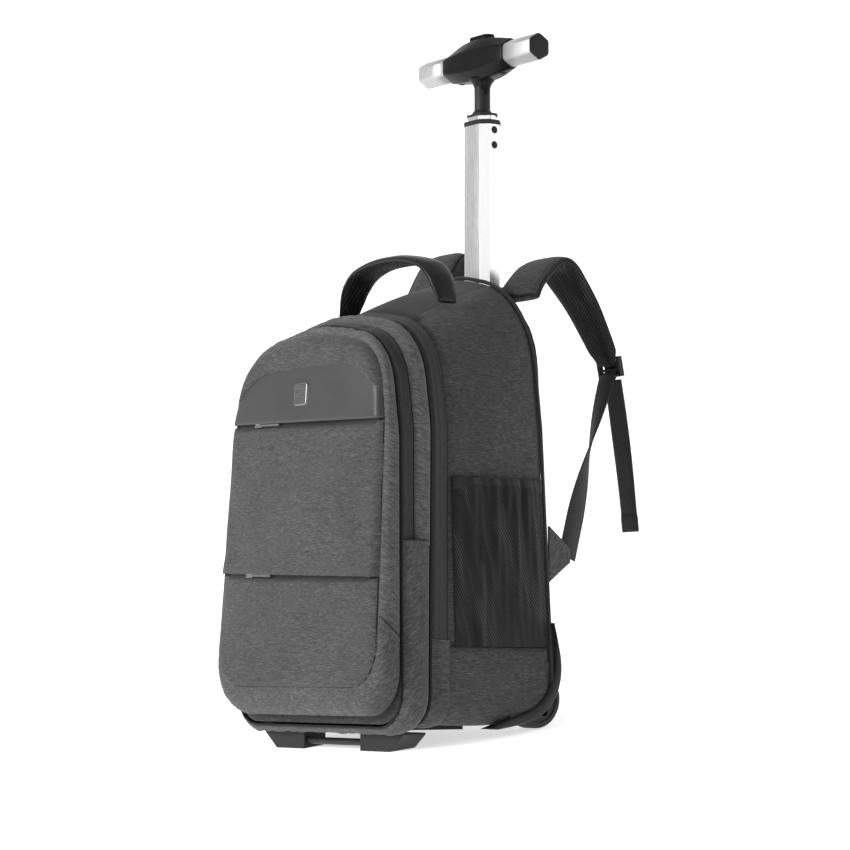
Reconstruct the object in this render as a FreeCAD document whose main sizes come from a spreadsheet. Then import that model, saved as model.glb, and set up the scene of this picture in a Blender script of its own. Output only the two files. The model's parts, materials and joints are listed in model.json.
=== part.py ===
"""Wheeled laptop backpack with a single-pole telescoping T-handle.

The bag is drawn in its own upright case frame: X across the bag, -Y towards the front pocket,
+Z along the trolley pole, with the pole's axis at X = 0, Y = 0 and Z = 0 at the front edge of
the feet. Standing on its feet and wheels the bag leans back a little, so every sub-part gets
the same Placement, which turns it about X by lean_angle and sets it on the floor.
"""
import FreeCAD, Part
import math
import os
import re
import Sketcher

Vector = FreeCAD.Vector

SIZES = [
    ("lean_angle", 8.43, "backward lean of the standing bag, degrees"),
    ("stand_back", 41.0, "shift along Y that centres the standing bag"),
    ("fabric_wall", 3.0, "padded fabric wall"),
    ("rear_y", -33.0, "plane of the rear piping"),
    ("front_low_y", -182.5, "seam between the main compartment and the organiser, at its foot"),
    ("front_high_y", -168.5, "seam between the main compartment and the organiser, at its top"),
    ("organiser_low_y", -210.5, "seam between the organiser and the front pocket, at its foot"),
    ("organiser_high_y", -204.0, "seam between the organiser and the front pocket, at its top"),
    ("face_low_y", -239.0, "front pocket face, at its foot"),
    ("face_high_y", -216.0, "front pocket face, at its top"),
    ("rear_low_half", 154.0, "rear outline: half width at the foot"),
    ("rear_mid_half", 134.5, "rear outline: half width at mid height"),
    ("rear_high_half", 115.0, "rear outline: half width at the shoulder"),
    ("rear_low", 28.0, "rear outline: foot height"),
    ("rear_mid", 320.0, "rear outline: mid height"),
    ("rear_high", 466.0, "rear outline: shoulder height"),
    ("rear_peak", 485.0, "rear outline: top at the centre"),
    ("rear_low_round", 14.0, "rear outline: foot corner radius"),
    ("front_low_half", 151.0, "main front outline: half width at the foot"),
    ("front_mid_half", 141.0, "main front outline: half width at mid height"),
    ("front_high_half", 120.0, "main front outline: half width at the shoulder"),
    ("front_low", 26.0, "main front outline: foot height"),
    ("front_mid", 316.0, "main front outline: mid height"),
    ("front_high", 416.0, "main front outline: shoulder height"),
    ("front_peak", 433.0, "main front outline: top at the centre"),
    ("front_low_round", 28.0, "main front outline: foot corner radius"),
    ("organiser_low_half", 146.5, "organiser front outline: half width at the foot"),
    ("organiser_mid_half", 137.0, "organiser front outline: half width at mid height"),
    ("organiser_high_half", 118.0, "organiser front outline: half width at the shoulder"),
    ("organiser_low", 22.0, "organiser front outline: foot height"),
    ("organiser_mid", 312.0, "organiser front outline: mid height"),
    ("organiser_high", 408.0, "organiser front outline: shoulder height"),
    ("organiser_peak", 425.0, "organiser front outline: top at the centre"),
    ("organiser_low_round", 38.0, "organiser front outline: foot corner radius"),
    ("pocket_low_half", 145.0, "pocket seam outline: half width at the foot"),
    ("pocket_mid_half", 136.0, "pocket seam outline: half width at mid height"),
    ("pocket_high_half", 117.0, "pocket seam outline: half width at the shoulder"),
    ("pocket_low", 34.0, "pocket seam outline: foot height"),
    ("pocket_mid", 305.0, "pocket seam outline: mid height"),
    ("pocket_high", 404.0, "pocket seam outline: shoulder height"),
    ("pocket_peak", 421.0, "pocket seam outline: top at the centre"),
    ("pocket_low_round", 42.0, "pocket seam outline: foot corner radius"),
    ("face_low_half", 139.5, "pocket face outline: half width at the foot"),
    ("face_mid_half", 131.5, "pocket face outline: half width at mid height"),
    ("face_high_half", 116.0, "pocket face outline: half width at the shoulder"),
    ("face_low", 62.0, "pocket face outline: foot height"),
    ("face_mid", 320.0, "pocket face outline: mid height"),
    ("face_high", 398.0, "pocket face outline: shoulder height"),
    ("face_peak", 414.0, "pocket face outline: top at the centre"),
    ("face_low_round", 38.0, "pocket face outline: foot corner radius"),
    ("mid_round", 100.0, "outline radius at mid height"),
    ("rear_shoulder", 112.0, "rear outline: shoulder radius"),
    ("front_shoulder", 78.0, "main front outline: shoulder radius"),
    ("organiser_shoulder", 70.0, "organiser front outline: shoulder radius"),
    ("pocket_shoulder", 66.0, "pocket seam outline: shoulder radius"),
    ("face_shoulder", 58.0, "pocket face outline: shoulder radius"),
    ("peak_round", 180.0, "outline radius at the top"),
    ("tube_width", 41.0, "middle pole tube, across X"),
    ("tube_depth", 29.0, "middle pole tube, across Y"),
    ("tube_corner", 8.0, "chamfer of the tube's corners"),
    ("tube_wall", 1.8, "wall of the middle tube"),
    ("tube_gap", 0.6, "running gap between two pole stages"),
    ("sleeve_wall", 2.2, "wall of the fixed outer tube"),
    ("outer_low", 62.0, "lower end of the outer tube"),
    ("outer_high", 466.0, "upper end of the outer tube"),
    ("middle_low", 365.0, "lower end of the middle tube, drawn out"),
    ("middle_high", 650.0, "upper end of the middle tube, drawn out"),
    ("rim_height", 5.0, "height of the middle tube's rim collar"),
    ("bush_height", 6.0, "height of the sliding bushes"),
    ("inner_low", 385.0, "lower end of the inner tube"),
    ("inner_high", 660.0, "upper end of the inner tube"),
    ("inner_wall", 1.5, "wall of the inner tube"),
    ("stem_radius", 8.5, "neck between the pole and the T-bar"),
    ("rod_radius", 2.5, "push rod of the lock"),
    ("rod_bore", 3.2, "bore for the push rod"),
    ("grip_z", 720.0, "axis of the T-bar"),
    ("grip_half", 95.0, "half length of the T-bar without its end caps"),
    ("grip_flat", 13.2, "half width of the T-bar across its front and back flats"),
    ("grip_corner", 15.2, "half height of the T-bar across its top and bottom ridges"),
    ("sleeve_thick", 2.4, "wall of the aluminium grip sleeves"),
    ("housing_half", 51.0, "half length of the button housing"),
    ("housing_depth", 16.0, "half depth of the button housing"),
    ("cap_thick", 1.5, "end cap thickness"),
    ("button_half", 17.0, "half length of the push button"),
    ("button_depth", 7.5, "half depth of the push button"),
    ("button_top", 747.0, "top of the push button"),
    ("screw_x", 35.0, "distance of the housing screws from the centre"),
    ("wheel_x", 137.0, "distance of the wheels from the centre"),
    ("wheel_y", -46.0, "wheel axle, along Y"),
    ("wheel_radius", 29.0, "tyre radius"),
    ("wheel_width", 20.0, "tyre width"),
    ("tyre_bore", 23.5, "inner radius of the tyre"),
    ("bearing_radius", 8.0, "outer radius of the bearings"),
    ("axle_radius", 3.0, "wheel axle radius"),
    ("axle_gap", 0.06, "running gap round the axle"),
    ("housing_inner", 121.5, "inner face of a wheel housing"),
    ("housing_outer", 151.0, "outer face of a wheel housing"),
    ("housing_plate", 2.6, "side plates of a wheel housing"),
    ("foot_y", -192.0, "front face of the feet"),
    ("foot_depth", 27.0, "depth of the feet"),
    ("foot_inner", 48.5, "inner face of a foot"),
    ("foot_low_outer", 97.0, "outer edge of a foot at the floor"),
    ("foot_outer", 121.0, "outer edge of a foot at its top"),
    ("foot_top", 19.0, "top of the feet"),
    ("bar_radius", 3.6, "grab bar between the feet"),
    ("zip_high", 327.0, "upper front zip line"),
    ("zip_low", 174.0, "lower front zip line"),
    ("zip_half", 124.0, "half length of the front zips"),
    ("zip_slope", -0.035, "rise of the front zips towards +X, per length"),
    ("zip_width", 10.0, "width of a front zip tape"),
    ("slider_x", -84.0, "rest position of the front zip sliders"),
    ("slider_length", 11.0, "zip slider length"),
    ("slider_width", 8.0, "zip slider width"),
    ("pull_length", 34.0, "zip pull length"),
    ("mesh_low", 104.0, "bottom seam of the mesh pockets"),
    ("mesh_high", 258.0, "top of the mesh, under its binding"),
    ("mesh_binding", 9.0, "height of the mesh pocket's elastic binding"),
    ("mesh_front", -148.0, "front seam of the mesh pockets"),
    ("mesh_rear", -37.0, "rear seam of the mesh pockets"),
    ("mesh_low_reach", 3.2, "how far the mesh stands off at its bottom"),
    ("mesh_high_reach", 11.5, "how far the mesh stands off at its top"),
    ("mesh_thick", 1.4, "mesh thickness"),
    ("spine_half", 34.0, "half width of the padded tunnel over the pole"),
    ("spine_y", 21.0, "rear face of the tunnel"),
    ("spine_low", 45.0, "bottom of the tunnel"),
    ("dome_axis", -183.0, "axis of the back cushion's barrel shape"),
    ("dome_radius", 191.0, "largest radius of the back cushion"),
    ("dome_low", 60.0, "bottom edge of the back cushion"),
    ("dome_high", 465.0, "top edge of the back cushion"),
    ("handle_y", -112.0, "grab handle, along Y"),
    ("handle_width", 37.0, "grab handle width at its middle"),
    ("handle_thick", 11.0, "grab handle thickness"),
    ("strap_thick", 14.0, "shoulder pad thickness"),
    ("webbing_width", 25.0, "webbing width"),
    ("webbing_thick", 1.8, "webbing thickness"),
    ("tail_length", 160.0, "free end of the webbing below the ladder lock"),
]

NODES = []
SIDES = (("left", -1), ("right", 1))
PLANES = {"XY": "XY_Plane", "XZ": "XZ_Plane", "YZ": "YZ_Plane"}

os.makedirs("parts", exist_ok=True)
doc = FreeCAD.newDocument("wheeled_backpack")
sheet = doc.addObject("Spreadsheet::Sheet", "dims")
for row, (alias, value, note) in enumerate(SIZES, start=1):
    sheet.set(f"A{row}", note)
    sheet.set(f"B{row}", str(value))
    sheet.setAlias(f"B{row}", alias)
doc.recompute()


# ---------------------------------------------------------------- helpers

def size(alias):
    """The value of one cell."""
    return float(sheet.get(alias))


def bound(expression):
    """An expression on the sheet's aliases, as FreeCAD spells it."""
    return re.sub(r"[a-z][a-z_]*", lambda word: "dims." + word.group(0), expression)


def publish(item, node):
    """Names a finished sub-part and stands it on the floor with the rest of the bag."""
    item.Label = node
    lean = FreeCAD.Rotation(Vector(-1, 0, 0), size("lean_angle"))
    item.Placement = FreeCAD.Placement(Vector(0, 0, 0), lean)
    item.setExpression("Placement.Rotation.Angle", bound("lean_angle"))
    item.setExpression("Placement.Base.y", bound("stand_back"))
    item.setExpression("Placement.Base.z", "dims.foot_y * sin(dims.lean_angle * 1 deg)")
    NODES.append(item)


def floor_height(y):
    """Height of the floor in the leaning case frame."""
    lean = math.radians(size("lean_angle"))
    return (y - size("foot_y")) * math.tan(lean)


def feature(node, shape):
    """A sub-part whose shape comes from Part's own functions."""
    item = doc.addObject("Part::Feature", node)
    item.Shape = shape
    publish(item, node)
    return item


def new_body(name):
    return doc.addObject("PartDesign::Body", name)


def new_sketch(body, plane, lift):
    """A sketch on one of the body's origin planes, lifted along the plane's normal."""
    sketch = body.newObject("Sketcher::SketchObject", body.Name + "_sketch")
    support = [item for item in body.Origin.OriginFeatures if item.Role == PLANES[plane]][0]
    sketch.AttachmentSupport = [(support, "")]
    sketch.MapMode = "FlatFace"
    sketch.setExpression("AttachmentOffset.Base.z", bound(lift))
    return sketch


def bind_point(sketch, geometry, position, point):
    """Ties a point of the sketch to two expressions, measured from the sketch's origin."""
    for kind, expression in zip(("DistanceX", "DistanceY"), point):
        index = sketch.addConstraint(Sketcher.Constraint(kind, -1, 1, geometry, position, 1.0))
        sketch.setExpression(f"Constraints[{index}]", bound(expression))


def add_polygon(sketch, points):
    """A closed polygon whose corners are bound to expressions."""
    first = sketch.GeometryCount
    count = len(points)
    start = [Vector(math.cos(math.tau * k / count), math.sin(math.tau * k / count), 0)
             for k in range(count)]
    for k in range(count):
        sketch.addGeometry(Part.LineSegment(start[k], start[(k + 1) % count]), False)
    for k in range(count):
        follower = first + (k + 1) % count
        sketch.addConstraint(Sketcher.Constraint("Coincident", first + k, 2, follower, 1))
    for k, point in enumerate(points):
        bind_point(sketch, first + k, 1, point)


def add_circle(sketch, centre, radius):
    """A circle whose centre and radius are bound to expressions."""
    index = sketch.addGeometry(Part.Circle(Vector(1, 1, 0), Vector(0, 0, 1), 1.0), False)
    number = sketch.addConstraint(Sketcher.Constraint("Radius", index, 1.0))
    sketch.setExpression(f"Constraints[{number}]", bound(radius))
    bind_point(sketch, index, 3, centre)


def add_pad(body, plane, lift, length, polygons=(), circles=(), reverse=False):
    """A pad of polygons and circles; a loop inside another is a hole."""
    sketch = new_sketch(body, plane, lift)
    for points in polygons:
        add_polygon(sketch, points)
    for centre, radius in circles:
        add_circle(sketch, centre, radius)
    pad = body.newObject("PartDesign::Pad", body.Name + "_pad")
    pad.Profile = sketch
    pad.setExpression("Length", bound(length))
    pad.Reversed = reverse
    sketch.Visibility = False
    return pad


def add_pocket(body, plane, lift, length, polygons=(), circles=(), reverse=False):
    """A pocket that has to take material away."""
    doc.recompute()
    before = body.Shape.Volume
    sketch = new_sketch(body, plane, lift)
    for points in polygons:
        add_polygon(sketch, points)
    for centre, radius in circles:
        add_circle(sketch, centre, radius)
    pocket = body.newObject("PartDesign::Pocket", body.Name + "_pocket")
    pocket.Profile = sketch
    pocket.setExpression("Length", bound(length))
    pocket.Reversed = reverse
    doc.recompute()
    if body.Shape.Volume > before - 0.1:
        raise RuntimeError(f"{body.Name}: a pocket cut nothing")
    return pocket


def padded_body(node, plane, lift, length, polygons=(), circles=(), reverse=False):
    """A published body made of one pad."""
    body = new_body(node)
    add_pad(body, plane, lift, length, polygons, circles, reverse)
    publish(body, node)
    return body


def fillet_edges(body, radius, wanted):
    """Rounds the edges that a test picks out of the body's tip."""
    doc.recompute()
    base = body.Tip
    names = [f"Edge{k}" for k, edge in enumerate(base.Shape.Edges, start=1) if wanted(edge)]
    fillet = body.newObject("PartDesign::Fillet", body.Name + "_fillet")
    fillet.Base = (base, names)
    fillet.Radius = radius
    doc.recompute()
    return fillet


def runs_along(edge, axis):
    """True where an edge is a straight line along the axis."""
    ends = edge.Vertexes
    if len(ends) < 2:
        return False
    step = ends[1].Point.sub(ends[0].Point)
    return step.Length > 1e-6 and abs(step.normalize().dot(axis)) > 0.999


def octagon(half_width, half_depth, corner):
    """Corners of a rectangle with its corners cut, as expressions."""
    inner_width = f"{half_width}-{corner}"
    inner_depth = f"{half_depth}-{corner}"
    return [(inner_width, f"-({half_depth})"), (half_width, f"-({inner_depth})"),
            (half_width, inner_depth), (inner_width, half_depth),
            (f"-({inner_width})", half_depth), (f"-({half_width})", inner_depth),
            (f"-({half_width})", f"-({inner_depth})"), (f"-({inner_width})", f"-({half_depth})")]


def rounded_wire(points, radii):
    """A closed wire through the corners, each rounded by an arc tangent to its two sides."""
    edges = []
    ends = []
    for k, corner in enumerate(points):
        back = (points[k - 1] - corner).normalize()
        ahead = (points[(k + 1) % len(points)] - corner).normalize()
        turn = math.pi - back.getAngle(ahead)
        reach = radii[k] * math.tan(turn / 2)
        sagitta = radii[k] / math.cos(turn / 2) - radii[k]
        middle = corner + (back + ahead).normalize() * sagitta
        ends.append((corner + back * reach, middle, corner + ahead * reach))
    for k, (start, middle, end) in enumerate(ends):
        edges.append(Part.Arc(start, middle, end).toShape())
        edges.append(Part.LineSegment(end, ends[(k + 1) % len(ends)][0]).toShape())
    return Part.Wire(edges)


def read_outline(prefix, low_y, high_y):
    """One seam outline of the bag, as its named sizes."""
    keys = ("low_half", "mid_half", "high_half", "low", "mid", "high", "peak", "low_round",
            "shoulder")
    outline = {key: size(f"{prefix}_{key}") for key in keys}
    outline["low_y"] = low_y
    outline["high_y"] = high_y
    return outline


def between(first, second, share):
    """An outline part of the way from one outline to another."""
    return {key: first[key] + (second[key] - first[key]) * share for key in first}


def outline_wire(outline, grow, shift=0.0):
    """The wire of an outline, grown outwards and shifted along Y."""
    low = outline["low"] - grow
    peak = outline["peak"] + grow
    corners = [(outline["low_half"] + grow, low), (outline["mid_half"] + grow, outline["mid"]),
               (outline["high_half"] + grow, outline["high"] + grow), (0, peak)]
    flat = [(-corners[0][0], low)] + corners
    flat += [(-corners[2][0], corners[2][1]), (-corners[1][0], corners[1][1])]
    slope = (outline["high_y"] - outline["low_y"]) / (outline["peak"] - outline["low"])
    points = [Vector(x, outline["low_y"] + (z - outline["low"]) * slope + shift, z)
              for x, z in flat]
    low_round = max(outline["low_round"] + grow, 4.0)
    shoulder = outline["shoulder"] + grow
    radii = [low_round, low_round, size("mid_round"), shoulder, size("peak_round"),
             shoulder, size("mid_round")]
    return rounded_wire(points, radii)


def loft(wires):
    return Part.makeLoft(wires, True, True)


def hollow_layer(back, front):
    """A fabric compartment between two outlines, as its outer and its inner solid."""
    wall = size("fabric_wall")
    outer = loft([outline_wire(back, 0.0), outline_wire(front, 0.0)])
    inner = loft([outline_wire(back, -wall, -wall), outline_wire(front, -wall, wall)])
    return outer, inner


def half_width(outline, z):
    """Half width of an outline on the straight run of its side."""
    share = (z - outline["low"]) / (outline["mid"] - outline["low"])
    return outline["low_half"] + (outline["mid_half"] - outline["low_half"]) * share


def side_x(y, z):
    """X of the main compartment's side panel."""
    rise = (z - MAIN_FRONT["low"]) / (MAIN_FRONT["peak"] - MAIN_FRONT["low"])
    front = MAIN_FRONT["low_y"] + (MAIN_FRONT["high_y"] - MAIN_FRONT["low_y"]) * rise
    share = (y - front) / (size("rear_y") - front)
    near = half_width(MAIN_FRONT, z)
    return near + (half_width(REAR, z) - near) * share


def face_y(z):
    """Y of the front pocket's face."""
    share = (z - size("face_low")) / (size("face_peak") - size("face_low"))
    return size("face_low_y") + (size("face_high_y") - size("face_low_y")) * share


def face_slab(corners, radius, proud, thick):
    """A slab on the pocket's face from (x, z) corners, its back standing proud of the face."""
    points = [Vector(x, face_y(z) - proud, z) for x, z in corners]
    wire = rounded_wire(points, [radius] * len(points))
    return Part.Face(wire).extrude(Vector(0, -thick, 0))


def ribbon(stations, thick):
    """A strap: stations of (x, y, z, width), width along X, path in the YZ direction."""
    wires = []
    for k, (x, y, z, width) in enumerate(stations):
        before = stations[max(k - 1, 0)]
        after = stations[min(k + 1, len(stations) - 1)]
        along = Vector(0, after[1] - before[1], after[2] - before[2]).normalize()
        normal = Vector(0, -along.z, along.y) * (thick / 2)
        across = Vector(width / 2, 0, 0)
        centre = Vector(x, y, z)
        ring = [centre - across - normal, centre + across - normal,
                centre + across + normal, centre - across + normal]
        wires.append(Part.makePolygon(ring + ring[:1]))
    return loft(wires)


# ---------------------------------------------------------------- fabric layers

REAR = read_outline("rear", size("rear_y"), size("rear_y"))
MAIN_FRONT = read_outline("front", size("front_low_y"), size("front_high_y"))
ORGANISER = read_outline("organiser", size("organiser_low_y"), size("organiser_high_y"))
POCKET = read_outline("pocket", size("organiser_low_y"), size("organiser_high_y"))
FACE = read_outline("face", size("face_low_y"), size("face_high_y"))


def wheel_well(side, margin):
    """The block cut out of the bag's lower rear corner for a wheel housing."""
    inner = size("housing_inner") - margin
    low_y = -84.5 - margin
    block = Part.makeBox(60, 80, 70, Vector(inner, low_y, 19 + margin))
    if side < 0:
        block = block.mirror(Vector(0, 0, 0), Vector(1, 0, 0))
    return block


def build_main_shell():
    """Main compartment: a closed fabric shell with a well for each wheel."""
    outer, inner = hollow_layer(REAR, MAIN_FRONT)
    wells = [wheel_well(side, 0.4) for _, side in SIDES]
    guards = [wheel_well(side, size("fabric_wall") + 0.4) for _, side in SIDES]
    shell = outer.cut(wells).cut(inner.cut(guards))
    feature("main_shell", shell)
    return outer


def build_pockets():
    """Organiser and front pocket: closed hollow layers, one in front of the other."""
    seam_gap = 0.05
    back = dict(MAIN_FRONT)
    back["low_y"] -= seam_gap
    back["high_y"] -= seam_gap
    outer, inner = hollow_layer(back, ORGANISER)
    feature("front_organiser", outer.cut(inner))
    organiser_outer = outer
    back = dict(POCKET)
    back["low_y"] -= seam_gap + 0.6
    back["high_y"] -= seam_gap + 0.6
    outer, inner = hollow_layer(back, FACE)
    feature("front_pocket", outer.cut(inner))
    return organiser_outer


def build_zip_bands(main_outer, organiser_outer):
    """Arched zip bands that run up one side of a layer, over its top and down the other."""
    proud = 2.0
    bands = (("main_zip_band", MAIN_FRONT, REAR, main_outer, (0.01, 0.14), 106.0),
             ("organiser_zip_band", ORGANISER, MAIN_FRONT, organiser_outer, (0.02, 0.38), 200.0))
    for node, near, far, core, shares, foot in bands:
        wires = [outline_wire(between(near, far, share), proud) for share in shares]
        strip = loft(wires).cut(core)
        above = Part.makeBox(400, 400, 500, Vector(-200, -300, foot))
        feature(node, strip.common(above))


def build_face_trim():
    """Leatherette panel, name plate and the two front zips' tapes."""
    proud = 0.1
    slope = size("zip_slope")
    foot = size("zip_high") + size("zip_width") / 2 + 1.5
    panel = [(-128, foot - 128 * slope), (128, foot + 128 * slope), (128, 350), (86, 384),
             (-86, 384), (-128, 352)]
    feature("leather_panel", face_slab(panel, 2.0, proud, 1.6))
    plate = [(-11.5, 343), (11.5, 343), (11.5, 366), (-11.5, 366)]
    feature("name_plate", face_slab(plate, 3.5, 1.8, 1.2))
    half = size("zip_half")
    reach = size("zip_width") / 2
    tapes = []
    for z in (size("zip_high"), size("zip_low")):
        drop = half * slope
        corners = [(-half, z - reach - drop), (half, z - reach + drop),
                   (half, z + reach + drop), (-half, z + reach - drop)]
        tapes.append(face_slab(corners, 1.0, proud, 1.0))
    feature("front_zip_tapes", Part.makeCompound(tapes))


def build_slider(name, zip_line):
    """A zip slider on its tape, and its pull lying along the zip."""
    x = size("slider_x")
    z = zip_line + x * size("zip_slope")
    base = face_y(z) - 1.5
    length = size("slider_length")
    width = size("slider_width")
    plate = Part.makeBox(length, 3.0, width, Vector(x - length / 2, base - 3.0, z - width / 2))
    bridge = Part.makeBox(7, 2.2, 1.6, Vector(x - 3.5, base - 5.1, z - 0.8))
    feature(f"{name}_slider", plate.fuse(bridge))
    eye = x + 6.0
    pull_length = size("pull_length")
    half = 3.2
    drop = pull_length * size("zip_slope")
    corners = [(eye, z - half), (eye + pull_length, z - half + drop),
               (eye + pull_length, z + half + drop), (eye, z + half)]
    points = [Vector(px, base - 2.6, pz) for px, pz in corners]
    tab = Part.Face(rounded_wire(points, [1.2] * 4)).extrude(Vector(0, -1.8, 0))
    slot = Part.makeBox(pull_length - 16, 8, 2.4, Vector(eye + 8, base - 8, z - 1.2 + drop / 2))
    feature(f"{name}_pull", tab.cut(slot))


def mesh_section(side, z, reach, inset):
    """One level of a mesh pocket: a shallow trapezoid standing off the side panel."""
    front = size("mesh_front") + inset
    rear = size("mesh_rear") - inset
    base = 0.6
    lean_in = 12.0
    corners = [(front, base), (front + lean_in, reach), (rear - lean_in, reach), (rear, base)]
    points = [Vector(side * (side_x(y, z) + off), y, z) for y, off in corners]
    return Part.makePolygon(points + points[:1])


def build_mesh_pockets():
    """Open-topped mesh pockets with an elastic binding."""
    low = size("mesh_low")
    high = size("mesh_high")
    thick = size("mesh_thick")
    low_reach = size("mesh_low_reach")
    high_reach = size("mesh_high_reach")
    bindings = []
    for name, side in SIDES:
        outer = loft([mesh_section(side, low, low_reach, 0),
                      mesh_section(side, high, high_reach, 0)])
        inner = loft([mesh_section(side, low + 3, low_reach - thick, 3),
                      mesh_section(side, high + 0.01, high_reach - thick, 3)])
        back = loft([mesh_section(side, low + 3, low_reach - thick, 3),
                     mesh_section(side, high + 0.01, high_reach - thick, 3)])
        back.translate(Vector(-side * 1.5, 0, 0))
        feature(f"mesh_pocket_{name}", outer.cut([inner, back]))
        top = high + size("mesh_binding")
        outer = loft([mesh_section(side, high + 0.05, high_reach + 0.8, 0),
                      mesh_section(side, top, high_reach + 1.2, 0)])
        inner = loft([mesh_section(side, high, high_reach - thick, 3),
                      mesh_section(side, top + 0.1, high_reach - thick + 0.5, 3)])
        back = inner.copy()
        back.translate(Vector(-side * 1.5, 0, 0))
        bindings.append(outer.cut([inner, back]))
    feature("pocket_bindings", Part.makeCompound(bindings))


def build_back():
    """Back cushion with the pole's tunnel, the board behind it, the piping and the divider."""
    axis = size("dome_axis")
    rear = size("rear_y") + 0.3
    flat = rear - axis
    full = size("dome_radius")
    low = size("dome_low")
    high = size("dome_high")
    shoulder = 116.0
    foot = 70.0
    profile = [Vector(flat - 4, axis, low), Vector(flat, axis, low)]
    steps = 6
    for k in range(1, steps + 1):
        angle = math.pi / 2 * k / steps
        rise = Vector(flat + (full - flat) * math.sin(angle), axis,
                      low + foot * (1 - math.cos(angle)))
        profile.append(rise)
    for k in range(steps + 1):
        angle = math.pi / 2 * k / steps
        fall = Vector(flat + (full - flat) * math.cos(angle), axis,
                      high - shoulder + shoulder * math.sin(angle))
        profile.append(fall)
    profile.append(Vector(flat - 4, axis, high))
    face = Part.Face(Part.makePolygon(profile + profile[:1]))
    barrel = face.revolve(Vector(0, axis, 0), Vector(0, 0, 1), 360)
    behind = Part.makeBox(400, 100, 600, Vector(-200, rear, 0))
    spine_half = size("spine_half")
    spine_low = size("spine_low")
    spine = Part.makeBox(2 * spine_half, size("spine_y") - rear,
                         size("outer_high") - spine_low, Vector(-spine_half, rear, spine_low))
    upright = [edge for edge in spine.Edges
               if runs_along(edge, Vector(0, 0, 1)) and edge.Vertexes[0].Point.y > 0]
    spine = spine.makeFillet(10.0, upright)
    channel_x = size("tube_width") / 2 + size("tube_gap") + size("sleeve_wall") + 0.4
    channel_y = size("tube_depth") / 2 + size("tube_gap") + size("sleeve_wall") + 0.4
    channel = Part.makeBox(2 * channel_x, 2 * channel_y, 600,
                           Vector(-channel_x, -channel_y, spine_low + 4))
    cushion = barrel.common(behind).fuse(spine).removeSplitter().cut(channel)
    feature("back_panel", cushion)

    path = outline_wire(REAR, -1.0, 2.6)
    start = path.Edges[1].Vertexes[0].Point
    tangent = path.Edges[1].tangentAt(path.Edges[1].FirstParameter)
    ring = Part.Wire(Part.makeCircle(2.0, start, tangent))
    piping = Part.Wire(path.Edges[1:] + path.Edges[:1]).makePipeShell([ring], True, False)
    above = Part.makeBox(400, 60, 500, Vector(-200, -60, 128))
    feature("rear_piping", piping.common(above))


def build_inner_panels():
    """Back board and padded laptop divider inside, base tray underneath."""
    board = [("-rear_low_half+50", "96"), ("rear_low_half-50", "96"),
             ("rear_high_half-22", "412"), ("-rear_high_half+22", "412")]
    padded_body("back_board", "XZ", "-rear_y+4", "2", [board])
    padded_body("laptop_divider", "XZ", "-rear_y+36", "6", [board])
    tray = [("-94", "-176"), ("94", "-176"), ("94", "-98"), ("-94", "-98")]
    body = padded_body("base_tray", "XY", "front_low-5.2", "5", [tray])
    fillet_edges(body, 2.0, lambda edge: runs_along(edge, Vector(0, 0, 1)))


def build_feet():
    """Two moulded front feet, flat on the leaning floor, with a grab bar between them."""
    rise = floor_height(size("foot_y") + size("foot_depth"))
    for name, side in SIDES:
        body = new_body(f"foot_{name}")
        profile = [("foot_y", "0"), ("foot_y+foot_depth", f"{rise:.4f}"),
                   ("foot_y+foot_depth", "foot_top"), ("foot_y", "foot_top")]
        lift = "foot_inner" if side > 0 else "-foot_outer"
        add_pad(body, "YZ", lift, "foot_outer-foot_inner", [profile])
        corner = [(f"{side}*foot_low_outer", "-1"), (f"{side}*(foot_outer+2)", "-1"),
                  (f"{side}*(foot_outer+2)", "foot_top-2"), (f"{side}*foot_outer", "foot_top-2")]
        add_pocket(body, "XZ", "-foot_y+1", "foot_depth+2", [corner])
        publish(body, f"foot_{name}")
    bar = [(("foot_y+7", "8.4"), "bar_radius")]
    padded_body("foot_grab_bar", "YZ", "-foot_inner+0.05", "2*foot_inner-0.1", circles=bar)


# ---------------------------------------------------------------- wheels

def wheel_height():
    """Height of the axle, so that the tyres touch the floor that the feet stand on."""
    lean = math.radians(size("lean_angle"))
    return floor_height(size("wheel_y")) + size("wheel_radius") / math.cos(lean)


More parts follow.
